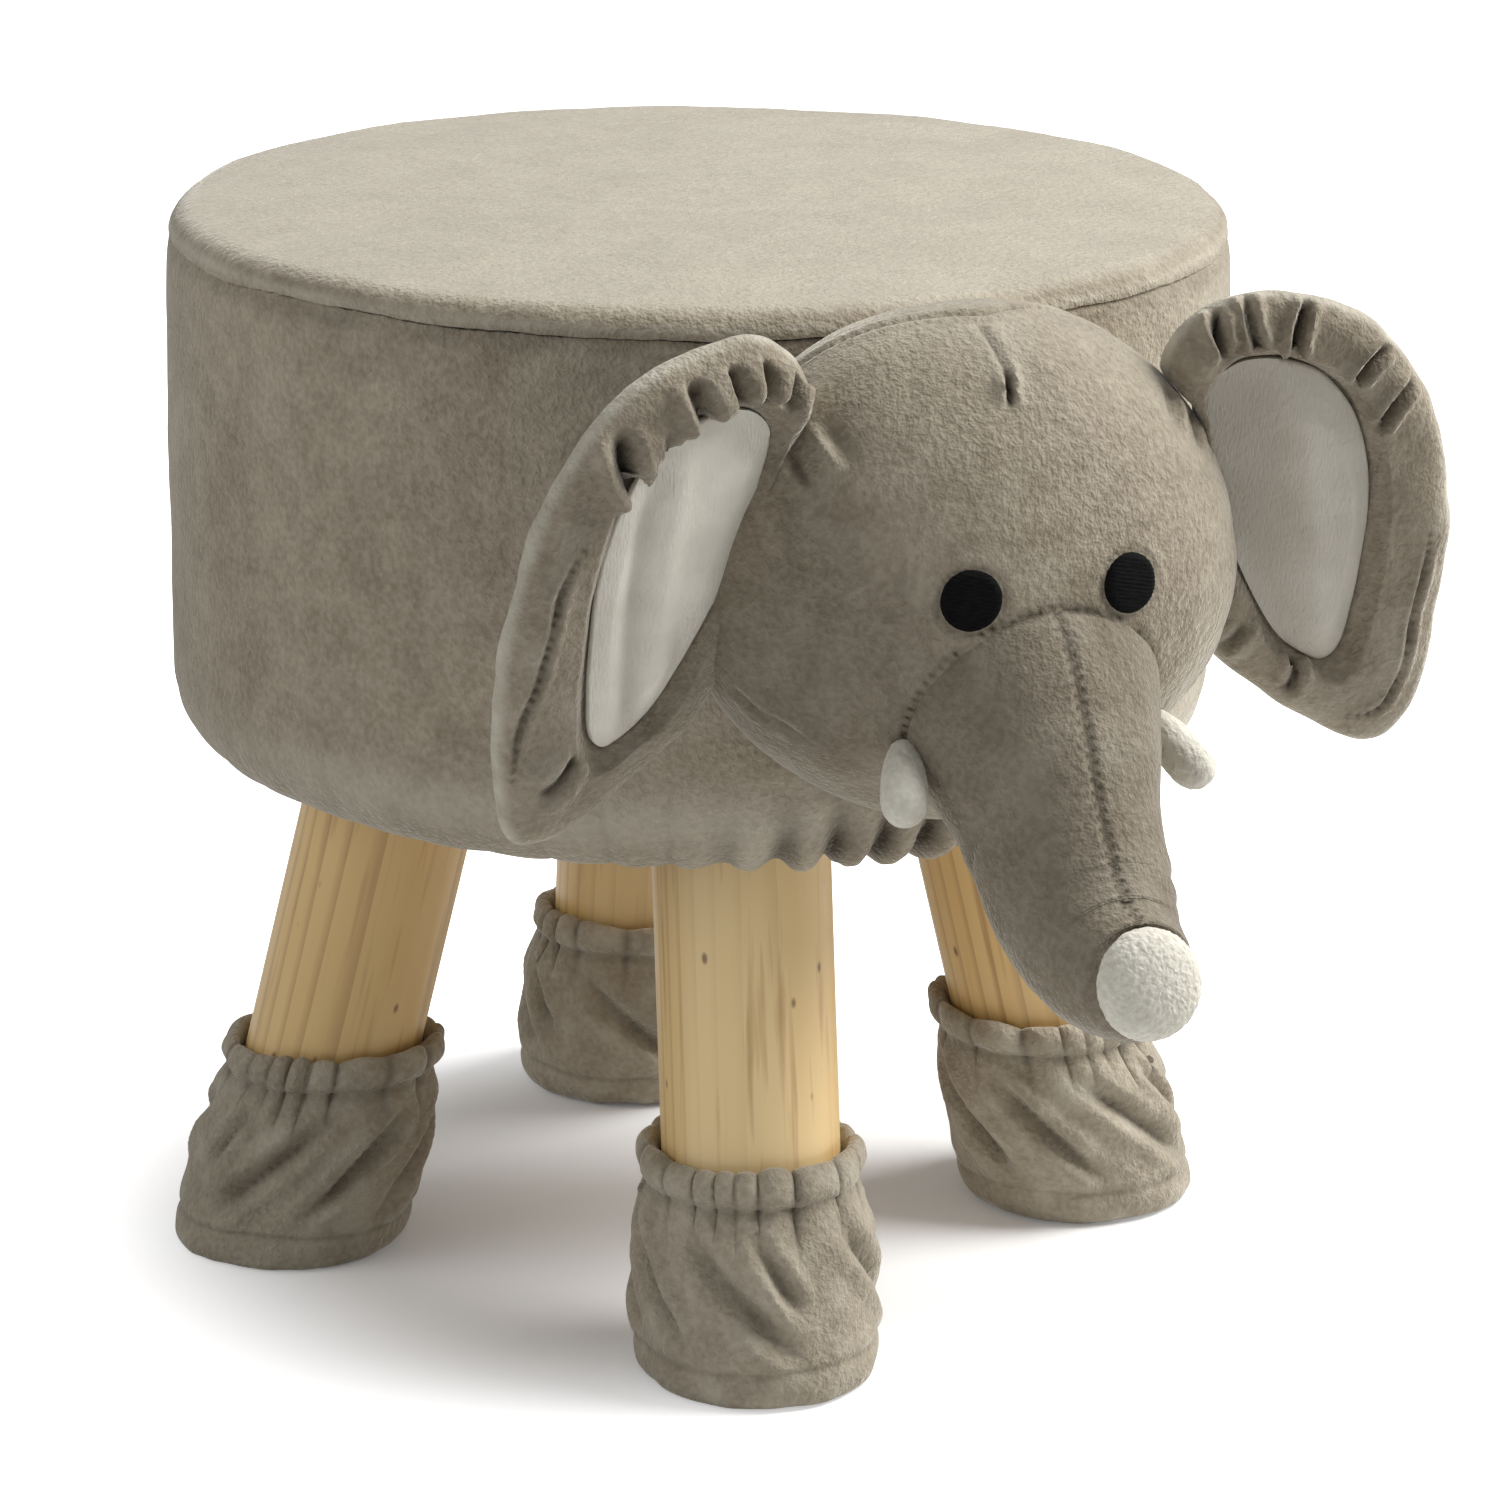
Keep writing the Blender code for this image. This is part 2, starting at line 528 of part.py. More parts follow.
def make_bootie(index, name):
    """A gathered plush bootie round the foot, with its sole and the elastic band in its collar."""
    at = leg_frame(index)
    rows = [(BOOTIE_RADIUS * radius, BOOTIE_HEIGHT * height)
            for radius, height in zip(BOOTIE_RADIUS_SHARES, BOOTIE_HEIGHT_SHARES)]
    shape = spun_rows(rows, BOOTIE_SEGMENTS)
    for vert in shape.verts:
        row = min(range(len(rows)), key=lambda i: abs(rows[i][1] - vert.co.z))
        radius, height = rows[row]
        angle = math.atan2(vert.co.y, vert.co.x)
        twist = BOOTIE_FOLD_TWIST * height / BOOTIE_HEIGHT
        fold = 0.5 - 0.5 * math.cos(BOOTIE_FOLDS * (angle + twist + index))
        frill = math.cos(BOOTIE_FRILLS * angle)
        radius -= BOOTIE_FOLD_DEPTH * fold * BOOTIE_FOLD_SHARES[row]
        radius += BOOTIE_FRILL_DEPTH * frill * BOOTIE_FRILL_SHARES[row]
        vert.co = slanted(radius, angle, height)
    bootie = place("bootie_" + name, mesh_of(shape, "bootie", closed=False), PLUSH, at)
    thicken(bootie, BOOTIE_CLOTH)

    sole = bmesh.new()
    edge = BOOTIE_RADIUS * BOOTIE_RADIUS_SHARES[-1] - BOOTIE_CLOTH - 2 * CLEARANCE
    bmesh.ops.create_cone(sole, cap_ends=True, segments=BOOTIE_SEGMENTS, radius1=edge,
                          radius2=edge, depth=SOLE_THICKNESS)
    for vert in sole.verts:
        height = vert.co.z + SOLE_THICKNESS / 2
        vert.co = slanted(edge, math.atan2(vert.co.y, vert.co.x), height)
    place("bootie_sole_" + name, mesh_of(sole, "bootie_sole"), PLUSH, at)

    band_height = BOOTIE_HEIGHT * BAND_SHARE
    inner = LEG_RADIUS + CLEARANCE
    outer = inner + BAND_THICKNESS
    corners = [(outer, band_height + BAND_WIDTH), (outer, band_height),
               (inner, band_height), (inner, band_height + BAND_WIDTH)]
    band = spun_rows(corners + corners[:1], BOOTIE_SEGMENTS)
    for vert in band.verts:
        radius = math.hypot(vert.co.x, vert.co.y)
        vert.co = slanted(radius, math.atan2(vert.co.y, vert.co.x), vert.co.z)
    place("bootie_elastic_" + name, mesh_of(band, "bootie_elastic"), ELASTIC, at)


def head_form(spot, grow=0.0):
    """The head's swelling: an egg, a little fuller at the cheeks."""
    from_cheek = (spot.z - HEAD_CHEEK_HEIGHT_SHARE) / HEAD_CHEEK_BAND_SHARE
    cheek = HEAD_CHEEK_SWELL * max(0.0, 1 - from_cheek ** 2) * spot.x
    return Vector((spot.x * (HEAD_SIZE.x + grow) + cheek,
                   spot.y * (HEAD_SIZE.y + grow), spot.z * (HEAD_SIZE.z + grow)))


def head_cutter(name, grow, at):
    """The head's space, grown by a clearance, as a cutter for what touches it."""
    mesh = shaped_ball(name, HEAD_SEGMENTS, HEAD_RINGS, lambda spot: head_form(spot, grow))
    return cutter_of(name, mesh, at)


def make_head():
    """The stuffed head, hollowed at the back where it is sewn straight to the side panel."""
    at = Matrix.Translation(HEAD_CENTRE)
    head = place("head", shaped_ball("head", HEAD_SEGMENTS, HEAD_RINGS, head_form), PLUSH, at)
    radius = SEAT_RADIUS + CLEARANCE
    seat = bmesh.new()
    bmesh.ops.create_cone(seat, cap_ends=True, segments=2 * SEAT_SEGMENTS, radius1=radius, radius2=radius,
                          depth=2 * SEAT_SIDE_HEIGHT)
    middle = Matrix.Translation((0, 0, SEAM_HEIGHT - SEAT_SIDE_HEIGHT / 2))
    cut(head, cutter_of("seat_space", mesh_of(seat, "seat_space"), middle))
    return head_cutter("head_space", CLEARANCE, at)


def trunk_path():
    """Points and radii along the middle of the trunk, in the stool's middle plane."""
    start = HEAD_CENTRE + Vector((0, -TRUNK_ROOT_INSET, -TRUNK_ROOT_BELOW_CENTRE))
    forward = smooth_between(TRUNK_FORWARD_SHARES, TRUNK_STEPS_PER_SPAN)
    drop = smooth_between(TRUNK_DROP_SHARES, TRUNK_STEPS_PER_SPAN)
    radius = smooth_between(TRUNK_RADIUS_SHARES, TRUNK_STEPS_PER_SPAN)
    return [(start + Vector((0, -TRUNK_REACH * f, -TRUNK_DROP * d)), TRUNK_ROOT_RADIUS * r)
            for f, d, r in zip(forward, drop, radius)]


def trunk_width(forward):
    """How wide the trunk is for its height, at a share of its reach."""
    places = TRUNK_WIDE_PLACE_SHARES
    last = len(places) - 2
    index = max([0] + [i for i in range(last + 1) if places[i] <= forward])
    t = min(1.0, max(0.0, (forward - places[index]) / (places[index + 1] - places[index])))
    return TRUNK_WIDE_SHARES[index] + (TRUNK_WIDE_SHARES[index + 1] - TRUNK_WIDE_SHARES[index]) * t


def trunk_mesh(name, grow):
    """The trunk as a tapering tube, a little wider than high, as a mesh that can be cut or cut with."""
    path = trunk_path()
    curve = bpy.data.curves.new(name, "CURVE")
    curve.dimensions = "3D"
    curve.bevel_depth = 1
    curve.bevel_resolution = TRUNK_BEVEL_RESOLUTION
    curve.use_fill_caps = True
    spline = curve.splines.new("POLY")
    spline.points.add(len(path) - 1)
    for point, (spot, radius) in zip(spline.points, path):
        point.co = (*spot, 1)
        point.radius = radius + grow
    guide = bpy.data.objects.new(name + "_guide", curve)
    CUTTERS.objects.link(guide)
    bpy.context.view_layer.update()
    solid = bpy.data.meshes.new_from_object(guide.evaluated_get(bpy.context.evaluated_depsgraph_get()))
    bpy.data.objects.remove(guide, do_unlink=True)
    shape = bmesh.new()
    shape.from_mesh(solid)
    for vert in shape.verts:
        vert.co.x *= trunk_width((path[0][0].y - vert.co.y) / TRUNK_REACH)
    return mesh_of(shape, name)


def make_trunk(head_space):
    """The trunk from the face down and forward, and the pale cap on its end."""
    trunk = place("trunk", trunk_mesh("trunk", 0.0), PLUSH)
    cut(trunk, head_space)
    path = trunk_path()
    end = path[-1][0]
    along = (end - path[-2][0]).normalized()

    def cap(spot):
        rise = TIP_RISE if spot.z > 0 else TIP_RISE * TIP_FLAT_SHARE
        return Vector((spot.x * TIP_RADIUS, spot.y * TIP_RADIUS, spot.z * rise))

    seat = end + along * (TIP_RISE * TIP_FLAT_SHARE + CLEARANCE)
    turn = along.to_track_quat("Z", "Y").to_matrix().to_4x4()
    mesh = shaped_ball("trunk_tip", TIP_SEGMENTS, TIP_SEGMENTS // 2, cap)
    place("trunk_tip", mesh, PALE_PLUSH, Matrix.Translation(seat) @ turn)
    return cutter_of("trunk_space", trunk_mesh("trunk_space", CLEARANCE))


def face_depth(across, up):
    """How far in front of the head's centre its surface lies, at a place across and up the face."""
    return HEAD_SIZE.y * math.sqrt(1 - (across / HEAD_SIZE.x) ** 2 - (up / HEAD_SIZE.z) ** 2)


def make_tusk(side, name, head_space, trunk_space):
    """A small stuffed peg that leans forward from the face, at the lower end of the trunk's root."""
    end = [math.pi / 2 * step / TUSK_END_STEPS for step in range(1, TUSK_END_STEPS + 1)]
    length = TUSK_LENGTH - TUSK_RADIUS
    last = len(TUSK_RADIUS_SHARES) - 1
    peg = [(0, TUSK_LENGTH)]
    peg += [(TUSK_RADIUS * share, TUSK_LENGTH - length * index / last)
            for index, share in enumerate(TUSK_RADIUS_SHARES)]
    peg += [(TUSK_RADIUS * math.cos(turn), TUSK_RADIUS * (1 - math.sin(turn))) for turn in end[:-1]]
    peg.append((0, 0))
    tip = HEAD_CENTRE + Vector((side * TUSK_TIP_SPREAD, -TUSK_TIP_FORWARD, -TUSK_TIP_BELOW_CENTRE))
    lean = Matrix.Rotation(-TUSK_TILT_FORWARD, 4, "X") @ Matrix.Rotation(-side * TUSK_TILT_OUT, 4, "Y")
    tusk = turned("tusk_" + name, peg, PALE_PLUSH, TUSK_SEGMENTS, at=Matrix.Translation(tip) @ lean)
    cut(tusk, head_space, trunk_space)


def make_eye(side, name):
    """A flat embroidered disc that follows the curve of the face."""
    middle = Vector((side * EYE_SPREAD, -face_depth(EYE_SPREAD, EYE_RISE), EYE_RISE))

    def disc(spot):
        across = middle.x + EYE_RADIUS * spot.x
        up = middle.z + EYE_RADIUS * spot.y
        flat = Vector((across, -face_depth(across, up), up))
        rise = EYE_THICKNESS * min(1.0, max(0.0, spot.z + 0.5))
        return flat + flat.normalized() * (CLEARANCE + rise)

    mesh = shaped_ball("eye", EYE_SEGMENTS, EYE_RINGS, disc)
    place("eye_" + name, mesh, EMBROIDERY, Matrix.Translation(HEAD_CENTRE))


def ear_frame(side):
    """The ear's root on the side of the head: its place, its own axes and its hinge line."""
    sag = 1 - (EAR_ROOT_RISE / HEAD_SIZE.z) ** 2 - (EAR_ROOT_FORWARD / HEAD_SIZE.y) ** 2
    on_head = Vector((HEAD_SIZE.x * math.sqrt(sag), -EAR_ROOT_FORWARD, EAR_ROOT_RISE))
    outwards = Vector((math.cos(EAR_YAW), -math.sin(EAR_YAW), 0))
    upwards = Vector((0, -math.sin(EAR_LEAN), math.cos(EAR_LEAN)))
    upwards = (upwards - outwards * upwards.dot(outwards)).normalized()
    facing = outwards.cross(upwards)
    normal = Vector([on_head[i] / HEAD_SIZE[i] ** 2 for i in range(3)])
    hinge = facing.cross(normal).normalized()
    mirror = Matrix.Diagonal((side, 1, 1))
    axes = Matrix((mirror @ outwards, mirror @ upwards, mirror @ facing)).transposed().to_4x4()
    place_of_root = HEAD_CENTRE + mirror @ on_head
    hinge = hinge if side > 0 else -(mirror @ hinge)
    return Matrix.Translation(place_of_root) @ axes, place_of_root, hinge


def outline_at(shares, turn):
    """A point of a closed outline, read smoothly from its points at a share of a full turn."""
    count = len(shares)
    spot = turn * count
    index = int(math.floor(spot)) % count
    t = spot - math.floor(spot)
    near = [Vector(shares[(index + step) % count]) for step in (-1, 0, 1, 2)]
    return 0.5 * (2 * near[1] + (near[2] - near[0]) * t
                  + (2 * near[0] - 5 * near[1] + 4 * near[2] - near[3]) * t * t
                  + (3 * near[1] - near[0] - 3 * near[2] + near[3]) * t ** 3)


def ear_point(share, turn):
    """Place in the ear's plane: from its middle over the edge of the lining to the ear's own edge."""
    lining = outline_at(LINING_OUTLINE_SHARES, turn)
    if share <= LINING_RING_SHARE:
        spot = lining * (share / LINING_RING_SHARE)
    else:
        edge = outline_at(EAR_OUTLINE_SHARES, turn)
        spot = lining.lerp(edge, (share - LINING_RING_SHARE) / (1 - LINING_RING_SHARE))
    return Vector(((spot.x + EAR_CENTRE_SHARES[0]) * EAR_WIDTH, (spot.y + EAR_CENTRE_SHARES[1]) * EAR_HEIGHT))


def ear_front(share):
    """Height of the ear's front over its middle plane: a sunk field inside a padded roll."""
    if share <= LINING_RING_SHARE:
        return EAR_FIELD
    across = (share - LINING_RING_SHARE) / (1 - LINING_RING_SHARE)
    return EAR_ROLL * math.sqrt(max(0.0, 1 - across ** 2)) * min(1.0, EAR_FIELD / EAR_ROLL + 2 * across)


def ring_share(spot):
    """How far a point of the unit ball lies from its pole, as a share of the way to its rim."""
    return min(1.0, math.atan2(math.hypot(spot.x, spot.y), abs(spot.z)) / (math.pi / 2))


def make_ear(side, name):
    """A padded ear with a rolled border and a satin lining, cut clear of the head as it swings."""
    at, root, hinge = ear_frame(side)

    def pad(spot):
        share = ring_share(spot)
        flat = ear_point(share, math.atan2(spot.y, spot.x) / (2 * math.pi) % 1)
        back = -EAR_BACK * max(0.0, 1 - share ** 2) ** EAR_BACK_ROUNDING
        return Vector((flat.x, flat.y, ear_front(share) if spot.z > 0 else back))

    def panel(spot):
        share = ring_share(spot)
        flat = ear_point(share * LINING_RING_SHARE * LINING_EDGE_SHARE,
                         math.atan2(spot.y, spot.x) / (2 * math.pi) % 1)
        rise = LINING_THICKNESS * math.sqrt(max(0.0, 1 - share ** 2))
        return Vector((flat.x, flat.y, EAR_FIELD + 2 * CLEARANCE + (rise if spot.z > 0 else 0)))

    ear = place("ear_" + name, shaped_ball("ear", EAR_SEGMENTS, EAR_RINGS, pad), PLUSH, at)
    mesh = shaped_ball("ear_lining", EAR_SEGMENTS, LINING_RINGS, panel)
    lining = place("ear_lining_" + name, mesh, SATIN, at)
    for word, swing in (("rest", 0.0), ("back", EAR_SWING_BACK), ("forward", -EAR_SWING_FORWARD)):
        about_root = Matrix.Translation(root) @ Matrix.Rotation(-swing, 4, hinge) @ Matrix.Translation(-root)
        space = head_cutter("head_space_" + name + "_" + word, EAR_ROOT_GAP,
                            about_root @ Matrix.Translation(HEAD_CENTRE))
        cut(ear, space)
        cut(lining, space)
    return root, hinge


def stand_over_origin():
    """Slide the stool until its lowest point is at Z = 0 and its box is centred over the origin."""
    bpy.context.view_layer.update()
    graph = bpy.context.evaluated_depsgraph_get()
    corners = []
    for piece in PARTS.objects:
        if piece.type == "MESH":
            solid = piece.evaluated_get(graph).to_mesh()
            corners += [piece.matrix_world @ vert.co for vert in solid.vertices]
            piece.evaluated_get(graph).to_mesh_clear()
    low = Vector([min(spot[i] for spot in corners) for i in range(3)])
    high = Vector([max(spot[i] for spot in corners) for i in range(3)])
    STOOL.location = (-(low.x + high.x) / 2, -(low.y + high.y) / 2, -low.z)
    print("size", [round(value, 4) for value in high - low], "shift", [round(v, 5) for v in STOOL.location])
    bpy.context.view_layer.update()
    return STOOL.location.copy()


make_board()
make_foam()
make_cover()
make_hem()
for number, leg_name in enumerate(LEG_NAMES):
    make_leg(number, leg_name)
    make_fastenings(number, leg_name)
    make_bootie(number, leg_name)
head_cut = make_head()
trunk_cut = make_trunk(head_cut)
hinges = {}
for ear_side, side_name in ((1, "left"), (-1, "right")):
    make_tusk(ear_side, side_name, head_cut, trunk_cut)
    make_eye(ear_side, side_name)
    hinges[side_name] = make_ear(ear_side, side_name)
shift = stand_over_origin()
for side_name, (hinge_place, hinge_axis) in hinges.items():
    hinge_place += shift
    print("ear hinge", side_name, [round(v, 5) for v in hinge_place], [round(v, 5) for v in hinge_axis])
for number, leg_name in enumerate(LEG_NAMES):
    frame = leg_frame(number)
    pull = frame.to_3x3() @ Vector((math.sin(LEG_SPLAY), 0, -math.cos(LEG_SPLAY)))
    print("leg", leg_name, [round(v, 5) for v in frame.translation + shift], [round(v, 5) for v in pull])
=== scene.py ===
# %% [markdown]
# # A plush elephant footstool
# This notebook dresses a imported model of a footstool: a padded round seat in a plush cover, with a
# stuffed elephant's head sewn to its side, on four round pine legs in plush booties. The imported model
# holds the true sizes. Each step below makes one piece of the real stool at its true place, with
# Blender's own modelling operators, and then gives it a finish.

# %% Load the frame
import json
import math

import bmesh
import bpy
import numpy as np
from mathutils import Matrix, Vector, noise
from mathutils.bvhtree import BVHTree

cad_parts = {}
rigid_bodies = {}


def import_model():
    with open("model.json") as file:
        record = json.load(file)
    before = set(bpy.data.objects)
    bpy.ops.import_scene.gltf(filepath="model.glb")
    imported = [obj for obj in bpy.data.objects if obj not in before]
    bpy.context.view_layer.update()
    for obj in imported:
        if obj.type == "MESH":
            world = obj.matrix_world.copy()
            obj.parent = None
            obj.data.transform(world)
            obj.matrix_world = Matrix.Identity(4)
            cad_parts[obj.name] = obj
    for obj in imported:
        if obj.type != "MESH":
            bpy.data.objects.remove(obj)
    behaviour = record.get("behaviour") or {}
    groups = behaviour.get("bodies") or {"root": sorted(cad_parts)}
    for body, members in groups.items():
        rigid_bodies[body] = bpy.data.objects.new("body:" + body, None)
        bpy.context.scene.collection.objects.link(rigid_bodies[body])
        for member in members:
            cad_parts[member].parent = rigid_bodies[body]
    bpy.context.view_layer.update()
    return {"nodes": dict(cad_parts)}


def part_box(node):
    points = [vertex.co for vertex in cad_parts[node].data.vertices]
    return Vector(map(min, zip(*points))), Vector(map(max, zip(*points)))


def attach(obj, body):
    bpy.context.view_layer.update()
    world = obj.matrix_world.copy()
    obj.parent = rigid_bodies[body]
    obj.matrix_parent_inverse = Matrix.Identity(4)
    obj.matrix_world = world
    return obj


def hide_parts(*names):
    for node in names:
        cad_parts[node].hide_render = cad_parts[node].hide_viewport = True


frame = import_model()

# %% [markdown]
# ## Where things are
# Everything is placed from the frame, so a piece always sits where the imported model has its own. The
# seat's middle is the middle of its board, the head's middle comes from the head's box, and each foot
# is the middle of its sole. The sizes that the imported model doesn't state are written once, here.

# %% Places and sizes from the frame
MM = 0.001


def middle_of(node):
    """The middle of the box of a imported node."""
    low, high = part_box(node)
    return (low + high) / 2


SEAT = middle_of("base_board")
SEAT_RADIUS = 140 * MM
SEAM_RADIUS = 138.5 * MM
SEAM_HEIGHT = 281 * MM
CROWN_RADIUS = 130 * MM
CROWN_RISE = 3 * MM
EDGE_RADIUS = 21 * MM
ARC_CENTRE = (SEAT_RADIUS - EDGE_RADIUS, 162.5 * MM)
HEM_INNER_RADIUS = 103.4 * MM

HEAD_SIZE = Vector((70, 50, 64)) * MM
HEAD = Vector((0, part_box("head")[0].y + HEAD_SIZE.y, (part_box("head")[0].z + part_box("head")[1].z) / 2))

FEET = ("front", "left", "back", "right")
LEG_RADIUS = 23.4 * MM
LEG_SPLAY = math.radians(13.4)
LEG_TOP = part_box("leg_front")[1].z
print("seat", [round(v, 4) for v in SEAT], "head", [round(v, 4) for v in HEAD])

# %% [markdown]
# ## Modelling helpers
# Operators act on whatever is selected, so every step starts from nothing selected. A round or tubular
# piece starts as one circle, whose edge is drawn out and resized ring by ring, as one would with E and
# S. The rings give even quads, which then take folds and seams well: the brushes below move their
# points the way a sculpting brush does, but by a rule, so that it's the same each time.

# %% Selecting
def let_go():
    """Leave edit mode and select nothing."""
    if bpy.context.mode != "OBJECT":
        bpy.ops.object.mode_set(mode="OBJECT")
    bpy.ops.object.select_all(action="DESELECT")


def hold(piece):
    """Select one piece alone."""
    let_go()
    piece.select_set(True)
    bpy.context.view_layer.objects.active = piece
    return piece


def edit(piece, kind="VERT"):
    """Go into edit mode on a piece, with nothing of it selected."""
    hold(piece)
    bpy.ops.object.mode_set(mode="EDIT")
    bpy.ops.mesh.select_mode(type=kind)
    bpy.ops.mesh.select_all(action="DESELECT")


def face_outwards():
    """In edit mode, turn every face outwards, and leave edit mode."""
    bpy.ops.mesh.select_all(action="SELECT")
    bpy.ops.mesh.normals_make_consistent(inside=False)
    let_go()


def merge_picked(piece, pick):
    """Merge the points that a rule picks to one point in their middle, and stay in edit mode."""
    edit(piece)
    shape = bmesh.from_edit_mesh(piece.data)
    for vert in pick(shape):
        vert.select = True
    shape.select_flush(True)
    bmesh.update_edit_mesh(piece.data)
    bpy.ops.mesh.merge(type="CENTER")


def finish_modifiers(piece):
    """Apply a piece's modifiers."""
    hold(piece)
    for modifier in list(piece.modifiers):
        bpy.ops.object.modifier_apply(modifier=modifier.name)
    return piece


def smooth(piece, degrees=50):
    """Shade a piece smooth, apart from edges sharper than an angle."""
    hold(piece)
    bpy.ops.object.shade_smooth_by_angle(angle=math.radians(degrees))
    return piece


def move_to(piece, spot):
    """Move a finished mesh to its place and leave its object at the origin."""
    hold(piece)
    bpy.ops.transform.translate(value=spot)
    bpy.ops.object.transform_apply(location=True, rotation=True, scale=True)
    return piece


# %% Rings
def ring_stack(name, rings, points, filled=True):
    """A circle drawn out into rings, each (radius, height), whose two ends are filled or left open."""
    let_go()
    radius, height = rings[0]
    bpy.ops.mesh.primitive_circle_add(vertices=points, radius=radius, location=(0, 0, height))
    piece = bpy.context.object
    piece.name = name
    bpy.ops.object.transform_apply(location=True)
    bpy.ops.object.mode_set(mode="EDIT")
    bpy.ops.mesh.select_mode(type="VERT")
    bpy.ops.mesh.select_all(action="SELECT")
    for next_radius, next_height in rings[1:]:
        bpy.ops.mesh.extrude_edges_move(TRANSFORM_OT_translate={"value": (0, 0, next_height - height)})
        share = next_radius / radius
        bpy.ops.transform.resize(value=(share, share, 1), center_override=(0, 0, next_height))
        radius, height = next_radius, next_height
    if filled:
        bpy.ops.mesh.select_all(action="SELECT")
        bpy.ops.mesh.fill_holes(sides=0)
    face_outwards()
    return piece


def arc(centre, radius, start, end, steps):
    """(radius, height) points on an arc, angles in degrees below the horizontal."""
    angles = np.radians(np.linspace(start, end, steps + 1))
    return [(centre[0] + radius * math.cos(a), centre[1] - radius * math.sin(a)) for a in angles]


def places(piece):
    """Each point's place, a row for each."""
    spots = np.empty(len(piece.data.vertices) * 3)
    piece.data.vertices.foreach_get("co", spots)
    return spots.reshape(-1, 3)


def put(piece, spots):
    """Put each point in its place."""
    piece.data.vertices.foreach_set("co", np.ascontiguousarray(spots, float).ravel())
    piece.data.update()
    return piece


def outward(piece):
    """Each point's normal."""
    normals = np.empty(len(piece.data.vertices) * 3)
    piece.data.vertices.foreach_get("normal", normals)
    return normals.reshape(-1, 3)


def wall(piece, thickness):
    """Give an open surface its cloth's thickness, inwards."""
    shell = piece.modifiers.new("cloth", "SOLIDIFY")
    shell.thickness = thickness
    shell.offset = -1
    return finish_modifiers(piece)


# %% Measures
def bell(value, width):
    """1 where a value is 0, fading away on both sides over about a width."""
    return np.exp(-(value / width) ** 2)


def ramp(value, start, end):
    """0 up to start, 1 from end on, and even between them. Start may be the higher one."""
    return np.clip((value - start) / (end - start), 0, 1)


def lumps(spots, size, seed=0.0):
    """Smooth noise from -1 to 1 with lumps of a size."""
    shift = Vector((seed, 2 * seed, -seed))
    return np.array([noise.noise(Vector(spot) / size + shift) for spot in spots])


def patches(spots, size, seed, gain, bias):
    """Separate soft patches, 0 between them: the tops of some lumps."""
    return np.clip(gain * lumps(spots, size, seed) - bias, 0, 1)


def along_line(spots, line):
    """Each point's distance to a line of points, and how far along the line it lies, from 0 to 1."""
    line = np.asarray(line, float)
    lengths = np.linalg.norm(np.diff(line, axis=0), axis=1)
    start = np.concatenate([[0], np.cumsum(lengths)])
    best = np.full(len(spots), np.inf)
    share = np.zeros(len(spots))
    for index, (a, b) in enumerate(zip(line, line[1:])):
        t = np.clip(((spots - a) @ (b - a)) / lengths[index] ** 2, 0, 1)
        gap = np.linalg.norm(spots - a - t[:, None] * (b - a), axis=1)
        near = gap < best
        best[near] = gap[near]
        share[near] = ((start[index] + t * lengths[index]) / start[-1])[near]
    return best, share


def length_of(line):
    """The length of a line of points."""
    return np.linalg.norm(np.diff(line, axis=0), axis=1).sum()


def between(before, start, end, after, t):
    """A point between the middle two of four points, on a smooth line through them all."""
    return 0.5 * (2 * start + (end - before) * t
                  + (2 * before - 5 * start + 4 * end - after) * t * t
                  + (3 * start - before - 3 * end + after) * t ** 3)


def curve_through(points, steps):
    """A smooth line through points, so many steps between two of them."""
    points = [np.asarray(point, float) for point in points]
    made = []
    for index in range(len(points) - 1):
        before, after = points[max(index - 1, 0)], points[min(index + 2, len(points) - 1)]
        for t in np.arange(steps) / steps:
            made.append(between(before, points[index], points[index + 1], after, t))
    return np.array(made + [points[-1]])


def unit(vectors):
    """Each row made 1 long."""
    return vectors / np.maximum(np.linalg.norm(vectors, axis=-1, keepdims=True), 1e-12)


# %% Brushes
def raise_by(piece, heights):
    """Move each point out along its normal."""
    put(piece, places(piece) + outward(piece) * heights[:, None])
    return piece


def swell(piece, size, height, seed=0.0):
    """Raise and sink the surface in soft lumps."""
    return raise_by(piece, height * lumps(places(piece), size, seed))


def note(piece, name, values):
    """Keep a number for each point, so that the finish can use it. A later note adds to the first."""
    kept = piece.data.attributes.get(name)
    old = np.zeros(len(piece.data.vertices))
    if kept is None:
        kept = piece.data.attributes.new(name, "FLOAT", "POINT")
    else:
        kept.data.foreach_get("value", old)
    kept.data.foreach_set("value", np.clip(old + values, 0, 1).astype(np.float32))


def crease_and_painted_shade(piece, line, depth, width, fade=0.2, ridge=0.35, shade=0.6):
    """Press a groove along a line, with a soft ridge on each side, and paint shade into its bottom."""
    gap, share = along_line(places(piece), line)
    ends = 1.0
    if fade:
        ends = np.clip(np.minimum(share, 1 - share) / fade, 0, 1)
        ends = ends * ends * (3 - 2 * ends)
    lip = bell(gap - 2.2 * width, 1.2 * width)
    raise_by(piece, depth * ends * (ridge * lip - bell(gap, width)))
    note(piece, "crease_and_painted_shade", shade * ends * bell(gap, 0.8 * width))
    return piece


def stitched(piece, line, pitch, width, shade):
    """Painted shade in pits along a seam, one for each stitch."""
    gap, reach = along_line(places(piece), line)
    dash = np.clip(1.3 * np.cos(2 * math.pi * reach * length_of(line) / pitch), 0, 1)
    note(piece, "crease_and_painted_shade", shade * dash * bell(gap, width))


# %% [markdown]
# ## The camera
# The photograph was taken from the stool's right front, a little above it, with a long lens. A camera
# is three axes and a place: it looks along its own -Z, and a small turn about that axis levels the
# legs as the photograph has them.

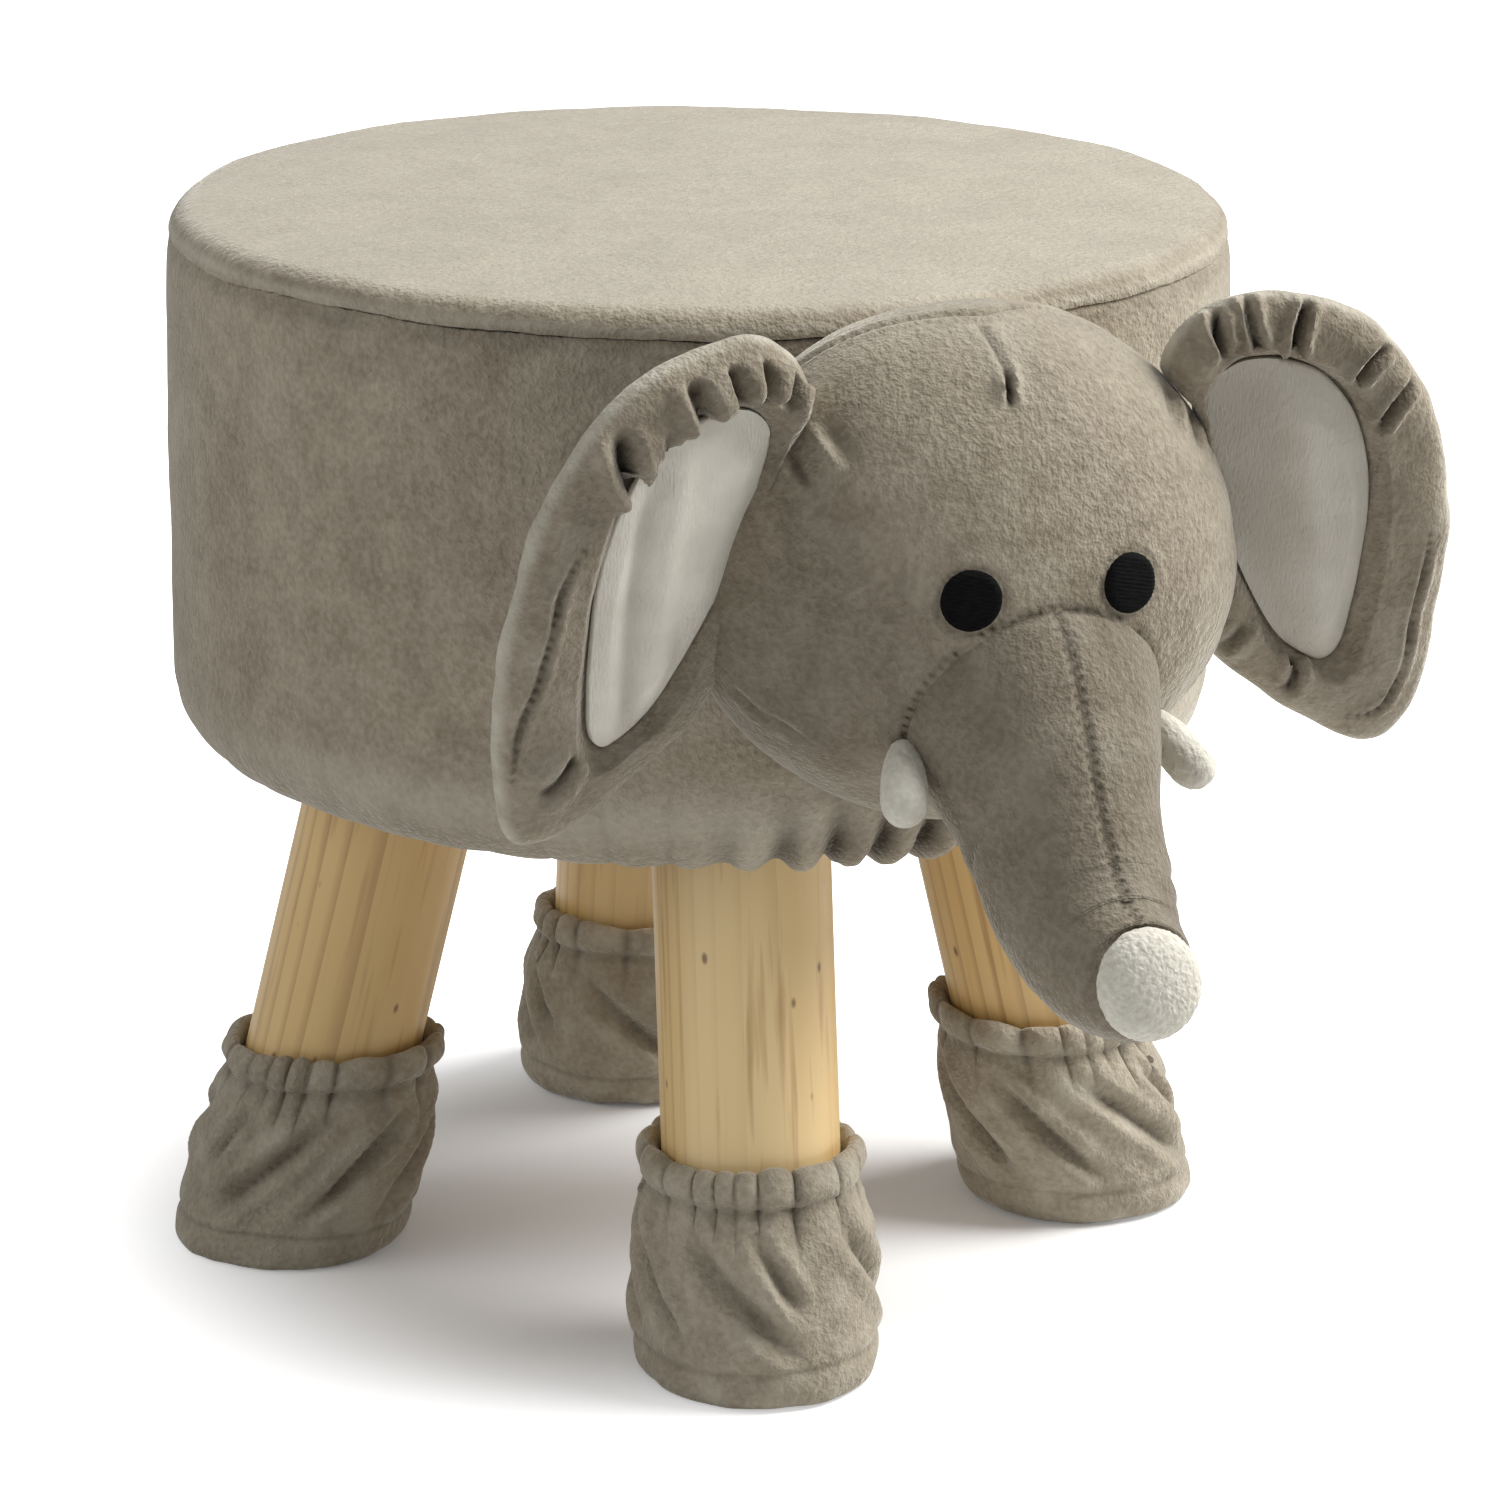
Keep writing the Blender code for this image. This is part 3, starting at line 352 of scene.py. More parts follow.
# %% Camera
CAMERA_SIDE = math.radians(-24.5)
CAMERA_RISE = math.radians(17.1)
CAMERA_ROLL = math.radians(-0.508)
CAMERA_DISTANCE = 1.5375
CAMERA_AIM = Vector((16.2, 0, 134.6)) * MM
CAMERA_LENS = 134.9
CAMERA_NEAR, CAMERA_FAR = 0.05, 50

turn = Matrix.Rotation(CAMERA_SIDE, 3, "Z")
back = turn @ Vector((0, -math.cos(CAMERA_RISE), math.sin(CAMERA_RISE)))
right = turn @ Vector((1, 0, 0))
rising = back.cross(right)
camera_x = right * math.cos(CAMERA_ROLL) - rising * math.sin(CAMERA_ROLL)
camera_y = right * math.sin(CAMERA_ROLL) + rising * math.cos(CAMERA_ROLL)
let_go()
bpy.ops.object.camera_add()
camera = bpy.context.object
camera.data.lens = CAMERA_LENS
camera.data.clip_start, camera.data.clip_end = CAMERA_NEAR, CAMERA_FAR
camera.matrix_world = Matrix((camera_x, camera_y, back)).transposed().to_4x4()
camera.location = turn @ CAMERA_AIM + back * CAMERA_DISTANCE + Vector((SEAT.x, SEAT.y, 0))
bpy.context.scene.camera = camera
print("camera", [round(v, 4) for v in camera.location])

# %% [markdown]
# ## Node helpers
# Every finish is a small tree of shader nodes. These helpers add a node, feed its sockets, stretch a
# value to another range and mix two colours, so that each tree below reads as a short recipe.


# %% Nodes
def tree_of(owner):
    """The node tree of a material or a world."""
    owner.use_nodes = True
    return owner.node_tree


def feed(tree, socket, value):
    """Link a socket to another one, or set it to a constant."""
    if isinstance(value, bpy.types.NodeSocket):
        tree.links.new(value, socket)
    else:
        socket.default_value = value


def add(tree, kind, **settings):
    """A new node. Each setting feeds the socket of its name, or else is set on the node itself."""
    made = tree.nodes.new(kind)
    for key, value in settings.items():
        if key in made.inputs:
            feed(tree, made.inputs[key], value)
        else:
            setattr(made, key, value)
    return made


def noise_of(tree, place, scale, detail=2.0, stretch=None):
    """Noise at a scale in lumps per metre, stretched along an axis if wanted."""
    if stretch:
        place = add(tree, "ShaderNodeMapping", Scale=stretch, Vector=place).outputs["Vector"]
    return add(tree, "ShaderNodeTexNoise", Scale=scale, Detail=detail, Vector=place).outputs["Fac"]


def noted(tree, name):
    """A number noted on the mesh by a brush."""
    return add(tree, "ShaderNodeAttribute", attribute_name=name).outputs["Fac"]


def spread(tree, value, low, high, to_low=0.0, to_high=1.0, kind="LINEAR"):
    """Stretch the part of a value between low and high to another range."""
    limits = {"From Min": low, "From Max": high, "To Min": to_low, "To Max": to_high}
    return add(tree, "ShaderNodeMapRange", interpolation_type=kind, Value=value, **limits).outputs["Result"]


def blended(tree, share, first, second):
    """Mix two colours, each a colour or a socket, by a share."""
    made = add(tree, "ShaderNodeMix", data_type="RGBA")
    feed(tree, made.inputs[0], share)
    for socket, value in ((made.inputs[6], first), (made.inputs[7], second)):
        feed(tree, socket, value if isinstance(value, bpy.types.NodeSocket) else (*value, 1))
    return made.outputs[2]


def added(tree, first, second, operation="ADD"):
    """The sum of two values, each a number or a socket, or what another operation makes of them."""
    made = add(tree, "ShaderNodeMath", operation=operation)
    feed(tree, made.inputs[0], first)
    feed(tree, made.inputs[1], second)
    return made.outputs["Value"]


def times(tree, first, second):
    """The product of two values."""
    return added(tree, first, second, "MULTIPLY")


def new_finish(name, roughness, looks=None):
    """A new material, its tree, its shader with some sockets set, and the places its patterns read."""
    material = bpy.data.materials.new(name)
    tree = tree_of(material)
    shader = tree.nodes["Principled BSDF"]
    for socket, value in {"Roughness": roughness, **(looks or {})}.items():
        shader.inputs[socket].default_value = value
    return material, tree, shader, add(tree, "ShaderNodeTexCoord").outputs["Object"]


def paint(tree, shader, colour, height, strength, depth):
    """Give a shader its colour, and a bump from a height."""
    bump = add(tree, "ShaderNodeBump", Strength=strength, Distance=depth, Height=height)
    feed(tree, shader.inputs["Base Color"], colour)
    feed(tree, shader.inputs["Normal"], bump.outputs["Normal"])


# %% [markdown]
# ## Floor and light
# The stool stands on a white sweep. The floor's own colour is pale, and plain white is added for the
# camera alone: little under the stool, where its shadow stays, and more further out, as lamps behind a
# studio sweep do. A big soft lamp high on the right is the key light, and a weak one on the left fills
# the shadows. The sky is dim for the stool and plain white behind it.

# %% Floor
FLOOR_SIDE = 12.0
FLOOR_WHITE = 0.80
GLOW_NEAR, GLOW_FAR = 0.08, 1.05
GLOW_START, GLOW_END = 0.09, 0.200

let_go()
bpy.ops.mesh.primitive_plane_add(size=FLOOR_SIDE, location=(0, 0, 0))
floor = bpy.context.object
floor.name = "floor"
floor_finish = bpy.data.materials.new("white floor")
tree = tree_of(floor_finish)
tree.nodes.clear()
diffuse = add(tree, "ShaderNodeBsdfDiffuse", Color=(FLOOR_WHITE, FLOOR_WHITE, FLOOR_WHITE, 1))
ground = add(tree, "ShaderNodeTexCoord").outputs["Object"]
away = add(tree, "ShaderNodeVectorMath", operation="DISTANCE")
feed(tree, away.inputs[0], ground)
feed(tree, away.inputs[1], (SEAT.x, SEAT.y, 0))
further = spread(tree, away.outputs["Value"], GLOW_START, GLOW_END, GLOW_NEAR, GLOW_FAR, "SMOOTHSTEP")
seen = add(tree, "ShaderNodeLightPath").outputs["Is Camera Ray"]
glow = add(tree, "ShaderNodeEmission", Strength=times(tree, seen, further))
total = add(tree, "ShaderNodeAddShader")
feed(tree, total.inputs[0], diffuse.outputs["BSDF"])
feed(tree, total.inputs[1], glow.outputs["Emission"])
add(tree, "ShaderNodeOutputMaterial", Surface=total.outputs["Shader"])
floor.data.materials.append(floor_finish)


# %% Lamps and sky
SKY_COLOUR, SKY_STRENGTH = (0.97, 0.98, 1.0, 1), 0.26


def lamp(name, side, place, watts, aim=(0, 0, 0.15)):
    """A round soft lamp turned towards the stool."""
    let_go()
    bpy.ops.object.light_add(type="AREA", location=place)
    made = bpy.context.object
    made.name = name
    made.data.shape = "DISK"
    made.data.size = side
    made.data.energy = watts
    made.rotation_mode = "QUATERNION"
    made.rotation_quaternion = (Vector(aim) - Vector(place)).to_track_quat("-Z", "Y")
    return made


lamp("key lamp", side=1.2, place=(1.28, -0.26, 1.40), watts=49.5)
lamp("fill lamp", side=1.6, place=(-1.9, 0.1, 1.1), watts=10)
world = bpy.context.scene.world or bpy.data.worlds.new("studio")
bpy.context.scene.world = world
tree = tree_of(world)
tree.nodes.clear()
sky = add(tree, "ShaderNodeBackground", Color=SKY_COLOUR, Strength=SKY_STRENGTH)
white = add(tree, "ShaderNodeBackground", Color=(1, 1, 1, 1), Strength=1)
path = add(tree, "ShaderNodeLightPath")
either = added(tree, path.outputs["Is Camera Ray"], path.outputs["Is Glossy Ray"], "MAXIMUM")
mix = add(tree, "ShaderNodeMixShader", Fac=either)
feed(tree, mix.inputs[1], sky.outputs["Background"])
feed(tree, mix.inputs[2], white.outputs["Background"])
add(tree, "ShaderNodeOutputWorld", Surface=mix.outputs["Shader"])
bpy.context.scene.view_settings.view_transform = "Standard"

# %% [markdown]
# ## Finishes
# The plush is a velour with a short pile. Up close its colour is mottled, because the pile lies this
# way and that, and its edges catch a pale sheen. The mottling is noise at three sizes, the pile is a
# fine bump, and the sheen is the shader's own. Two numbers are noted on the meshes. One is painted
# shade: it darkens the bottom of a seam, a fold or a hollow, and sides where shade falls, in plush and
# in satin. The other lightens plush in patches where the pile lies another way, and is also painted
# light on tops, lips, rims and a low band lit from the floor. The pine's rings run round a pith outside
# the dowel, as in a sawn post, with dark streaks and a few small knots.


# %% Plush
def plush(name, dark, light, deep, brushed, sheen, pile=0.8):
    """Velour: soft clouds, patches where the pile lies another way, and pebbles where it clumps."""
    material, tree, shader, place = new_finish(name, 0.9, {
        "Sheen Weight": sheen, "Sheen Roughness": 0.30, "Sheen Tint": (1.0, 0.96, 0.88, 1),
        "Specular IOR Level": 0.1})
    clouds = spread(tree, noise_of(tree, place, 34), 0.35, 0.65, 0, 0.30)
    clumps = spread(tree, noise_of(tree, place, 120), 0.35, 0.65, 0, 0.28)
    pebbles = noise_of(tree, place, 560, 1.5)
    specks = spread(tree, pebbles, 0.32, 0.68, 0, 0.42)
    tone = added(tree, added(tree, clouds, clumps), specks)
    colour = blended(tree, tone, dark, light)
    # Painted light mixes in the brushed colour, and painted shade mixes in the deep colour, each by a number
    # noted on the mesh.
    colour = blended(tree, noted(tree, "nap_and_painted_light"), colour, brushed)
    colour = blended(tree, noted(tree, "crease_and_painted_shade"), colour, deep)
    height = added(tree, pebbles, times(tree, noise_of(tree, place, 1500, 1), 0.4))
    paint(tree, shader, colour, height, pile, 0.9 * MM)
    return material


# Each plush: a dark and a light tone, a colour for painted shade, a colour for painted light and lighter
# pile, and its sheen.
GREY_PLUSH = plush("grey velour", (0.240, 0.200, 0.143), (0.440, 0.385, 0.295), (0.035, 0.026, 0.018),
                   (0.64, 0.60, 0.50), 0.75)
PALE_PLUSH = plush("off-white velour", (0.60, 0.57, 0.48), (0.80, 0.77, 0.68), (0.30, 0.26, 0.20),
                   (0.80, 0.78, 0.72), 0.3, pile=0.5)
print("plush", GREY_PLUSH.name, PALE_PLUSH.name)


# %% Satin and embroidery
def satin():
    """A smooth woven cloth that shines a little, with painted shade in its folds and where it lies in shade.
    """
    material, tree, shader, place = new_finish("off-white satin", 0.42, {
        "Sheen Weight": 0.10, "Anisotropic": 0.3, "Specular IOR Level": 0.4})
    cloth = noise_of(tree, place, 75, 4)
    weave = noise_of(tree, place, 1800, 1, (1, 1, 0.15))
    colour = blended(tree, spread(tree, cloth, 0.3, 0.7), (0.68, 0.645, 0.55), (0.82, 0.785, 0.69))
    colour = blended(tree, noted(tree, "crease_and_painted_shade"), colour, (0.20, 0.165, 0.115))
    paint(tree, shader, colour, added(tree, weave, noise_of(tree, place, 620)), 0.55, 0.5 * MM)
    return material


def embroidery():
    """Matt black thread, its strands drawn out sideways."""
    material, tree, shader, place = new_finish("black embroidery", 0.9, {
        "Sheen Weight": 0.0, "Specular IOR Level": 0.1})
    strands = noise_of(tree, place, 1400, 2, (0.25, 1, 1))
    black, shine = (0.0015, 0.0015, 0.0015), (0.006, 0.006, 0.006)
    paint(tree, shader, blended(tree, spread(tree, strands, 0.3, 0.7), black, shine), strands, 0.9, 0.3 * MM)
    return material


SATIN, EYE_THREAD = satin(), embroidery()
print("satin and thread", SATIN.name, EYE_THREAD.name)


# %% Pine
PITH = (0.055, 0.012)
RINGS_PER_METRE = 200
ALONG_GRAIN = (1, 1, 0.055)


def pine():
    """Pale wood: rings round a pith beside the dowel, dark streaks along the grain, and knots."""
    material, tree, shader, _ = new_finish("pale pine", 0.42, {"Coat Weight": 0.12, "Coat Roughness": 0.35})
    place = add(tree, "ShaderNodeAttribute", attribute_name="grain").outputs["Vector"]
    sway = noise_of(tree, place, 22, 2, (1, 1, 0.12))
    split = add(tree, "ShaderNodeSeparateXYZ", Vector=place)
    pith_x = added(tree, split.outputs["X"], PITH[0])
    pith_y = added(tree, split.outputs["Y"], PITH[1])
    square = added(tree, times(tree, pith_x, pith_x), times(tree, pith_y, pith_y))
    ring = added(tree, added(tree, square, 0.5, "POWER"), times(tree, sway, 0.006))
    bands = added(tree, times(tree, ring, RINGS_PER_METRE), 1.0, "FRACT")
    uneven = spread(tree, noise_of(tree, place, 34, 2, (1, 1, 0.1)), 0.42, 0.62)
    late = times(tree, spread(tree, bands, 0.62, 0.97), spread(tree, uneven, 0, 1, 0.46, 0.08))
    streak = times(tree, spread(tree, noise_of(tree, place, 300, 3, ALONG_GRAIN), 0.57, 0.72), 0.55)
    squeezed = add(tree, "ShaderNodeMapping", Scale=(1, 1, 0.55), Vector=place).outputs["Vector"]
    dots = add(tree, "ShaderNodeTexVoronoi", Scale=95, Randomness=1.0, Vector=squeezed)
    speck = spread(tree, dots.outputs["Distance"], 0.050, 0.100, 0.8, 0)
    colour = blended(tree, uneven, (0.74, 0.510, 0.215), (0.86, 0.650, 0.335))
    colour = blended(tree, late, colour, (0.36, 0.185, 0.070))
    colour = blended(tree, streak, colour, (0.42, 0.215, 0.075))
    colour = blended(tree, speck, colour, (0.16, 0.065, 0.025))
    paint(tree, shader, colour, added(tree, late, streak), 0.12, 0.15 * MM)
    return material


PINE = pine()


# %% Board, foam, steel and elastic
def board():
    """Plywood, its plies showing as level bands at the edge."""
    material, tree, shader, place = new_finish("plywood board", 0.75)
    grain = noise_of(tree, place, 90, 4, (1, 0.06, 1))
    plies = add(tree, "ShaderNodeTexWave", bands_direction="Z", Scale=110.0, Distortion=0.6, Detail=1.0,
                Vector=place).outputs["Fac"]
    tone = added(tree, spread(tree, grain, 0.3, 0.7, 0, 0.75), times(tree, plies, 0.25))
    colour = blended(tree, tone, (0.30, 0.19, 0.095), (0.53, 0.38, 0.22))
    paint(tree, shader, colour, grain, 0.25, 0.2 * MM)
    return material


def foam():
    """Open cells in cream foam."""
    material, tree, shader, place = new_finish("cream foam", 0.95)
    cells = add(tree, "ShaderNodeTexVoronoi", Scale=900.0, Vector=place).outputs["Distance"]
    colour = blended(tree, spread(tree, cells, 0.1, 0.7), (0.52, 0.46, 0.30), (0.80, 0.74, 0.56))
    paint(tree, shader, colour, cells, 0.6, 0.4 * MM)
    return material


def steel():
    """Zinc-plated steel with fine turning marks."""
    material, tree, shader, place = new_finish("zinc-plated steel", 0.34, {"Metallic": 1.0})
    cloud = noise_of(tree, place, 240, 3)
    turned = noise_of(tree, place, 700, 2, (0.2, 0.2, 1))
    feed(tree, shader.inputs["Roughness"], spread(tree, cloud, 0.3, 0.7, 0.26, 0.44))
    paint(tree, shader, blended(tree, cloud, (0.50, 0.51, 0.52), (0.72, 0.73, 0.74)), turned, 0.2, 0.1 * MM)
    return material


def elastic():
    """White elastic, ribbed across its width."""
    material, tree, shader, place = new_finish("white elastic", 0.7)
    rib = add(tree, "ShaderNodeTexWave", bands_direction="Z", Scale=450.0, Distortion=0.3, Vector=place)
    weave = noise_of(tree, place, 1300)
    tone = added(tree, times(tree, rib.outputs["Fac"], 0.6), times(tree, weave, 0.4))
    paint(tree, shader, blended(tree, tone, (0.55, 0.54, 0.52), (0.82, 0.81, 0.79)), tone, 0.5, 0.2 * MM)
    return material


BOARD, FOAM, STEEL, ELASTIC = board(), foam(), steel(), elastic()
print("finishes", len(bpy.data.materials))


# %% Dressing a piece
def dress(piece, finish, body, node):
    """Give a finished piece its material and its body, and hide the imported node it stands for."""
    piece.data.materials.clear()
    piece.data.materials.append(finish)
    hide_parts(node)
    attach(piece, body)
    print(piece.name, len(piece.data.polygons), "faces")
    return piece


# %% [markdown]
# ## The foam block
# Under the cover sits a block of seat foam with a crowned top, hollowed underneath to sit over the
# board. It could be a bevelled cylinder, but its crown and its rounded edges are easier to draw as a
# stack of rings from the hollow round the outside to the middle of the top.

# %% Foam
FOAM_BELOW_CLOTH = 3.6 * MM
FOAM_RIM = 4.6 * MM
BOARD_GAP = 0.6 * MM
board_low, board_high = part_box("base_board")
hollow_radius = (board_high.x - board_low.x) / 2 + BOARD_GAP
hollow_top = board_high.z + BOARD_GAP
foam_edge = EDGE_RADIUS - FOAM_BELOW_CLOTH - 4 * MM
rings = [(0.4 * MM, hollow_top), (hollow_radius, hollow_top), (hollow_radius, ARC_CENTRE[1] - foam_edge)]
rings += arc(ARC_CENTRE, foam_edge, 90, 0, 8)
rings += arc((CROWN_RADIUS, SEAM_HEIGHT), FOAM_RIM, 0, -90, 6)
for share in (0.9, 0.75, 0.55, 0.3, 0.003):
    crown_rise = CROWN_RISE * (1 - share ** 2) - 2 * MM * (1 - share)
    rings.append((CROWN_RADIUS * share, SEAM_HEIGHT + FOAM_RIM + crown_rise))
foam_block = move_to(ring_stack("foam_block", rings, 96), (SEAT.x, SEAT.y, 0))
smooth(foam_block)
dress(foam_block, FOAM, "stool", "seat_foam")

# %% [markdown]
# ## The top of the cover
# The top is a round panel of plush. Its edge rolls over the foam and is sewn to the side a little below
# the top, so a soft band shows above the seam. One ring is drawn out from the seam over the roll to the
# middle. The foam under it isn't quite even, so the crown gets a few wide, low lumps, and the seam's
# edge is tucked in under the roll.

# %% Seat top
CLOTH = 2.2 * MM
ROLL_SIZE = (9.0 * MM, 6.5 * MM)
ROLL_LIFT = 0.6 * MM
SEAT_POINTS = 320
BULGE, BULGE_AT, BULGE_REACH = 3.2 * MM, math.radians(80), math.radians(75)


def turn_of(spots):
    """Each point's turn round the seat, from the front to the elephant's left."""
    return np.arctan2(spots[:, 0], -(spots[:, 1] - SEAT.y))


def lean_out(spots):
    """Move points outwards from the drum's axis where it's out of round: a little, on its left side."""
    aside = np.clip((turn_of(spots) - BULGE_AT) / BULGE_REACH, -1, 1)
    bulge = BULGE * np.cos(aside * math.pi / 2) ** 2
    out = (spots - np.array([SEAT.x, SEAT.y, 0])) * np.array([1, 1, 0])
    return spots + out / SEAT_RADIUS * bulge[:, None]


def seam_wobble(spots):
    """Sway the seam up and down a little, the same way in the top and in the side."""
    around = turn_of(spots)
    sway = 0.5 * np.sin(5 * around + 0.4) + 0.35 * np.sin(11 * around + 1.9) + 0.2 * np.sin(23 * around)
    tufts = 0.45 * lumps(spots * np.array([1, 1, 0]), 2.6 * MM, 6.0)
    near = bell(spots[:, 2] - SEAM_HEIGHT, 6 * MM)
    return spots + np.array([0, 0, 0.8 * MM]) * ((sway + tufts) * near)[:, None]


rings = [(SEAM_RADIUS - 2.0 * MM, SEAM_HEIGHT - 0.2 * MM), (SEAM_RADIUS - 0.4 * MM, SEAM_HEIGHT - 0.1 * MM)]
roll_foot = SEAM_HEIGHT + ROLL_LIFT
for angle in np.radians(np.linspace(-4, 90, 15)):
    rings.append((CROWN_RADIUS + ROLL_SIZE[0] * math.cos(angle), roll_foot + ROLL_SIZE[1] * math.sin(angle)))
crown_top = roll_foot + ROLL_SIZE[1]
for share in np.linspace(0.97, 0.0, 26)[:-1]:
    rings.append((CROWN_RADIUS * share, crown_top + CROWN_RISE * (1 - share ** 2) * 0.8))
rings.append((0.5 * MM, crown_top + CROWN_RISE * 0.8))
seat_top = ring_stack("seat_top", rings, SEAT_POINTS, filled=False)
merge_picked(seat_top, lambda shape: [v for v in shape.verts if math.hypot(v.co.x, v.co.y) < 1 * MM])
face_outwards()
move_to(seat_top, (SEAT.x, SEAT.y, 0))
put(seat_top, seam_wobble(lean_out(places(seat_top))))
swell(seat_top, 60 * MM, 0.9 * MM, 3.1)
swell(seat_top, 22 * MM, 0.35 * MM, 7.7)
swell(seat_top, 7 * MM, 0.12 * MM, 1.7)
# Painted light: the crown is lighter than the roll, and an uneven lighter lip runs along the seam.
spots = places(seat_top)
above = spots[:, 2] - SEAM_HEIGHT
lip_unevenness = 0.5 + 0.5 * lumps(spots, 26 * MM, 9.1)
lip = bell(above - 2.2 * MM, 1.4 * MM)
note(seat_top, "nap_and_painted_light", 0.40 * ramp(above, 4.5 * MM, 7 * MM) + 0.55 * lip * lip_unevenness)
wall(seat_top, CLOTH)
smooth(seat_top)
dress(seat_top, GREY_PLUSH, "stool", "top_panel")

# %% [markdown]
# ## The side and the hem
# The side panel runs from the top seam down round the lower edge of the foam, where an elastic in the
# turned-under hem gathers it. One stack of rings makes the whole wall. The gathers are folds that grow
# towards the hem: shallow lobes round most of the edge, deep pleats under the head, where the cloth has
# to bunch. The turned-under band is then split off as its own piece, because it's the casing of the
# elastic.

# %% Seat side and hem
HEM_TURNS = 46
HEM_LOW = ARC_CENTRE[1] - EDGE_RADIUS
SIDE_POINTS = 540


def gathers(angle, low):
    """Depth of the gathers at an angle from the front, and how far the edge hangs down."""
    from_front = np.abs((angle + math.pi) % (2 * math.pi) - math.pi)
    front = np.clip(1 - (from_front / math.radians(46)) ** 2, 0, 1)
    under = bell(from_front, math.radians(18))
    uneven = 0.9 * np.sin(2.3 * angle + 0.6) + 0.5 * np.sin(5.1 * angle + 2.0)
    lobes = 1 - np.abs(np.cos(HEM_TURNS / 2 * angle + uneven)) ** 0.55
    pleats = 0.5 - 0.5 * np.cos(58 * angle + 1.3 * np.sin(7 * angle))
    depth = (0.5 + 1.4 * front) * MM * lobes + 5.6 * MM * under * pleats ** 1.4
    sag = 3.4 * MM * bell(from_front, math.radians(24))
    return depth * low, sag * low


rings = [(SEAM_RADIUS - 2.0 * MM, SEAM_HEIGHT - 0.35 * MM), (SEAM_RADIUS - 0.4 * MM, SEAM_HEIGHT - 0.4 * MM)]
straight = SEAM_HEIGHT - ARC_CENTRE[1]
for share in np.linspace(0.025, 1, 40):
    full = 1 - math.exp(-share / 0.035)
    rings.append((SEAM_RADIUS - 0.4 * MM + 1.9 * MM * full, SEAM_HEIGHT - straight * share))
rings += arc(ARC_CENTRE, EDGE_RADIUS, 3.5, 90, 26)
rings += [(ARC_CENTRE[0] - share * (ARC_CENTRE[0] - HEM_INNER_RADIUS), HEM_LOW)
          for share in (0.12, 0.28, 0.46, 0.64, 0.80, 0.92)]
rings.append((HEM_INNER_RADIUS - 0.3 * MM, HEM_LOW + 0.8 * MM))
seat_side = ring_stack("seat_side", rings, SIDE_POINTS, filled=False)
move_to(seat_side, (SEAT.x, SEAT.y, 0))
spots = places(seat_side)
low = ramp(spots[:, 2], ARC_CENTRE[1] + 12 * MM, ARC_CENTRE[1] - 12 * MM) ** 1.6
depth, sag = gathers(turn_of(spots), low)
spots = spots - outward(seat_side) * depth[:, None]
spots[:, 2] -= sag
upper = ramp(spots[:, 2], ARC_CENTRE[1], ARC_CENTRE[1] + 30 * MM)
spots += (lean_out(spots) - spots) * upper[:, None]
put(seat_side, seam_wobble(spots))
# Painted shade in the gathers, darker where they are deeper.
note(seat_side, "crease_and_painted_shade", 0.92 * np.clip(depth / (4.4 * MM), 0, 1) ** 1.3)
swell(seat_side, 70 * MM, 1.0 * MM, 1.4)
swell(seat_side, 26 * MM, 0.5 * MM, 5.2)
swell(seat_side, 9 * MM, 0.15 * MM, 2.2)


def on_side(degrees, height):
    """A point of the side panel, its turn counted from the front to the elephant's left."""
    a = math.radians(degrees)
    return np.array([SEAT.x + SEAT_RADIUS * math.sin(a), SEAT.y - SEAT_RADIUS * math.cos(a), height * MM])


# %% Painted shade and light, nap and dents of the side
spots = places(seat_side)
degrees, height = np.degrees(turn_of(spots)), spots[:, 2] / MM
crushed = patches(spots, 24 * MM, 4.2, 1.4, 0.25)
beside_ear = ramp(degrees, -44, -41) * ramp(degrees, -22, -32) * ramp(height, 168, 168 + 110 / 3)
low_band = bell(height - 158, 9) * ramp(degrees, 10, -15) * ramp(degrees, -110, -60)
right_of_head = ramp(degrees, 15, 35) * ramp(degrees, 100, 80)
seam_shade = bell(spots[:, 2] - SEAM_HEIGHT + 2.0 * MM, 2.2 * MM)
# Painted shade just below the seam and along the two dents. Painted light in a low band lit from the floor.
# The side is also lighter beside the ear, right of the head and in patches of crushed pile.
note(seat_side, "crease_and_painted_shade", 0.30 * seam_shade * (0.6 + 0.8 * lumps(spots, 8 * MM, 3.3)))
note(seat_side, "nap_and_painted_light", 0.16 * crushed + 0.14 * beside_ear + 0.36 * low_band + 0.08 * right_of_head)
dent = curve_through((on_side(-43.5, 262), on_side(-43, 240), on_side(-42, 222)), 8)
crease_and_painted_shade(seat_side, dent, 0.4 * MM, 1.2 * MM, fade=0.4, ridge=0.4, shade=0.12)
dent = curve_through((on_side(-55, 196), on_side(-53, 192), on_side(-50, 191)), 6)
crease_and_painted_shade(seat_side, dent, 0.8 * MM, 2.4 * MM, fade=0.5, ridge=0.3, shade=0.12)
print("side", len(seat_side.data.vertices))

# %% Split the hem off at the lowest ring
edit(seat_side, "FACE")
inner = ARC_CENTRE[0] + 0.2 * MM
shape = bmesh.from_edit_mesh(seat_side.data)
for face in shape.faces:
    middle = face.calc_center_median()
    inside = math.hypot(middle.x - SEAT.x, middle.y - SEAT.y) < inner
    face.select = inside and middle.z < ARC_CENTRE[1]
bmesh.update_edit_mesh(seat_side.data)
bpy.ops.mesh.separate(type="SELECTED")
let_go()
hem_band = next(o for o in bpy.context.scene.objects if o.name.startswith("seat_side."))
hem_band.name = "hem_band"
for piece, node in ((seat_side, "side_panel"), (hem_band, "hem")):
    wall(piece, CLOTH)
    smooth(piece)
    dress(piece, GREY_PLUSH, "stool", node)

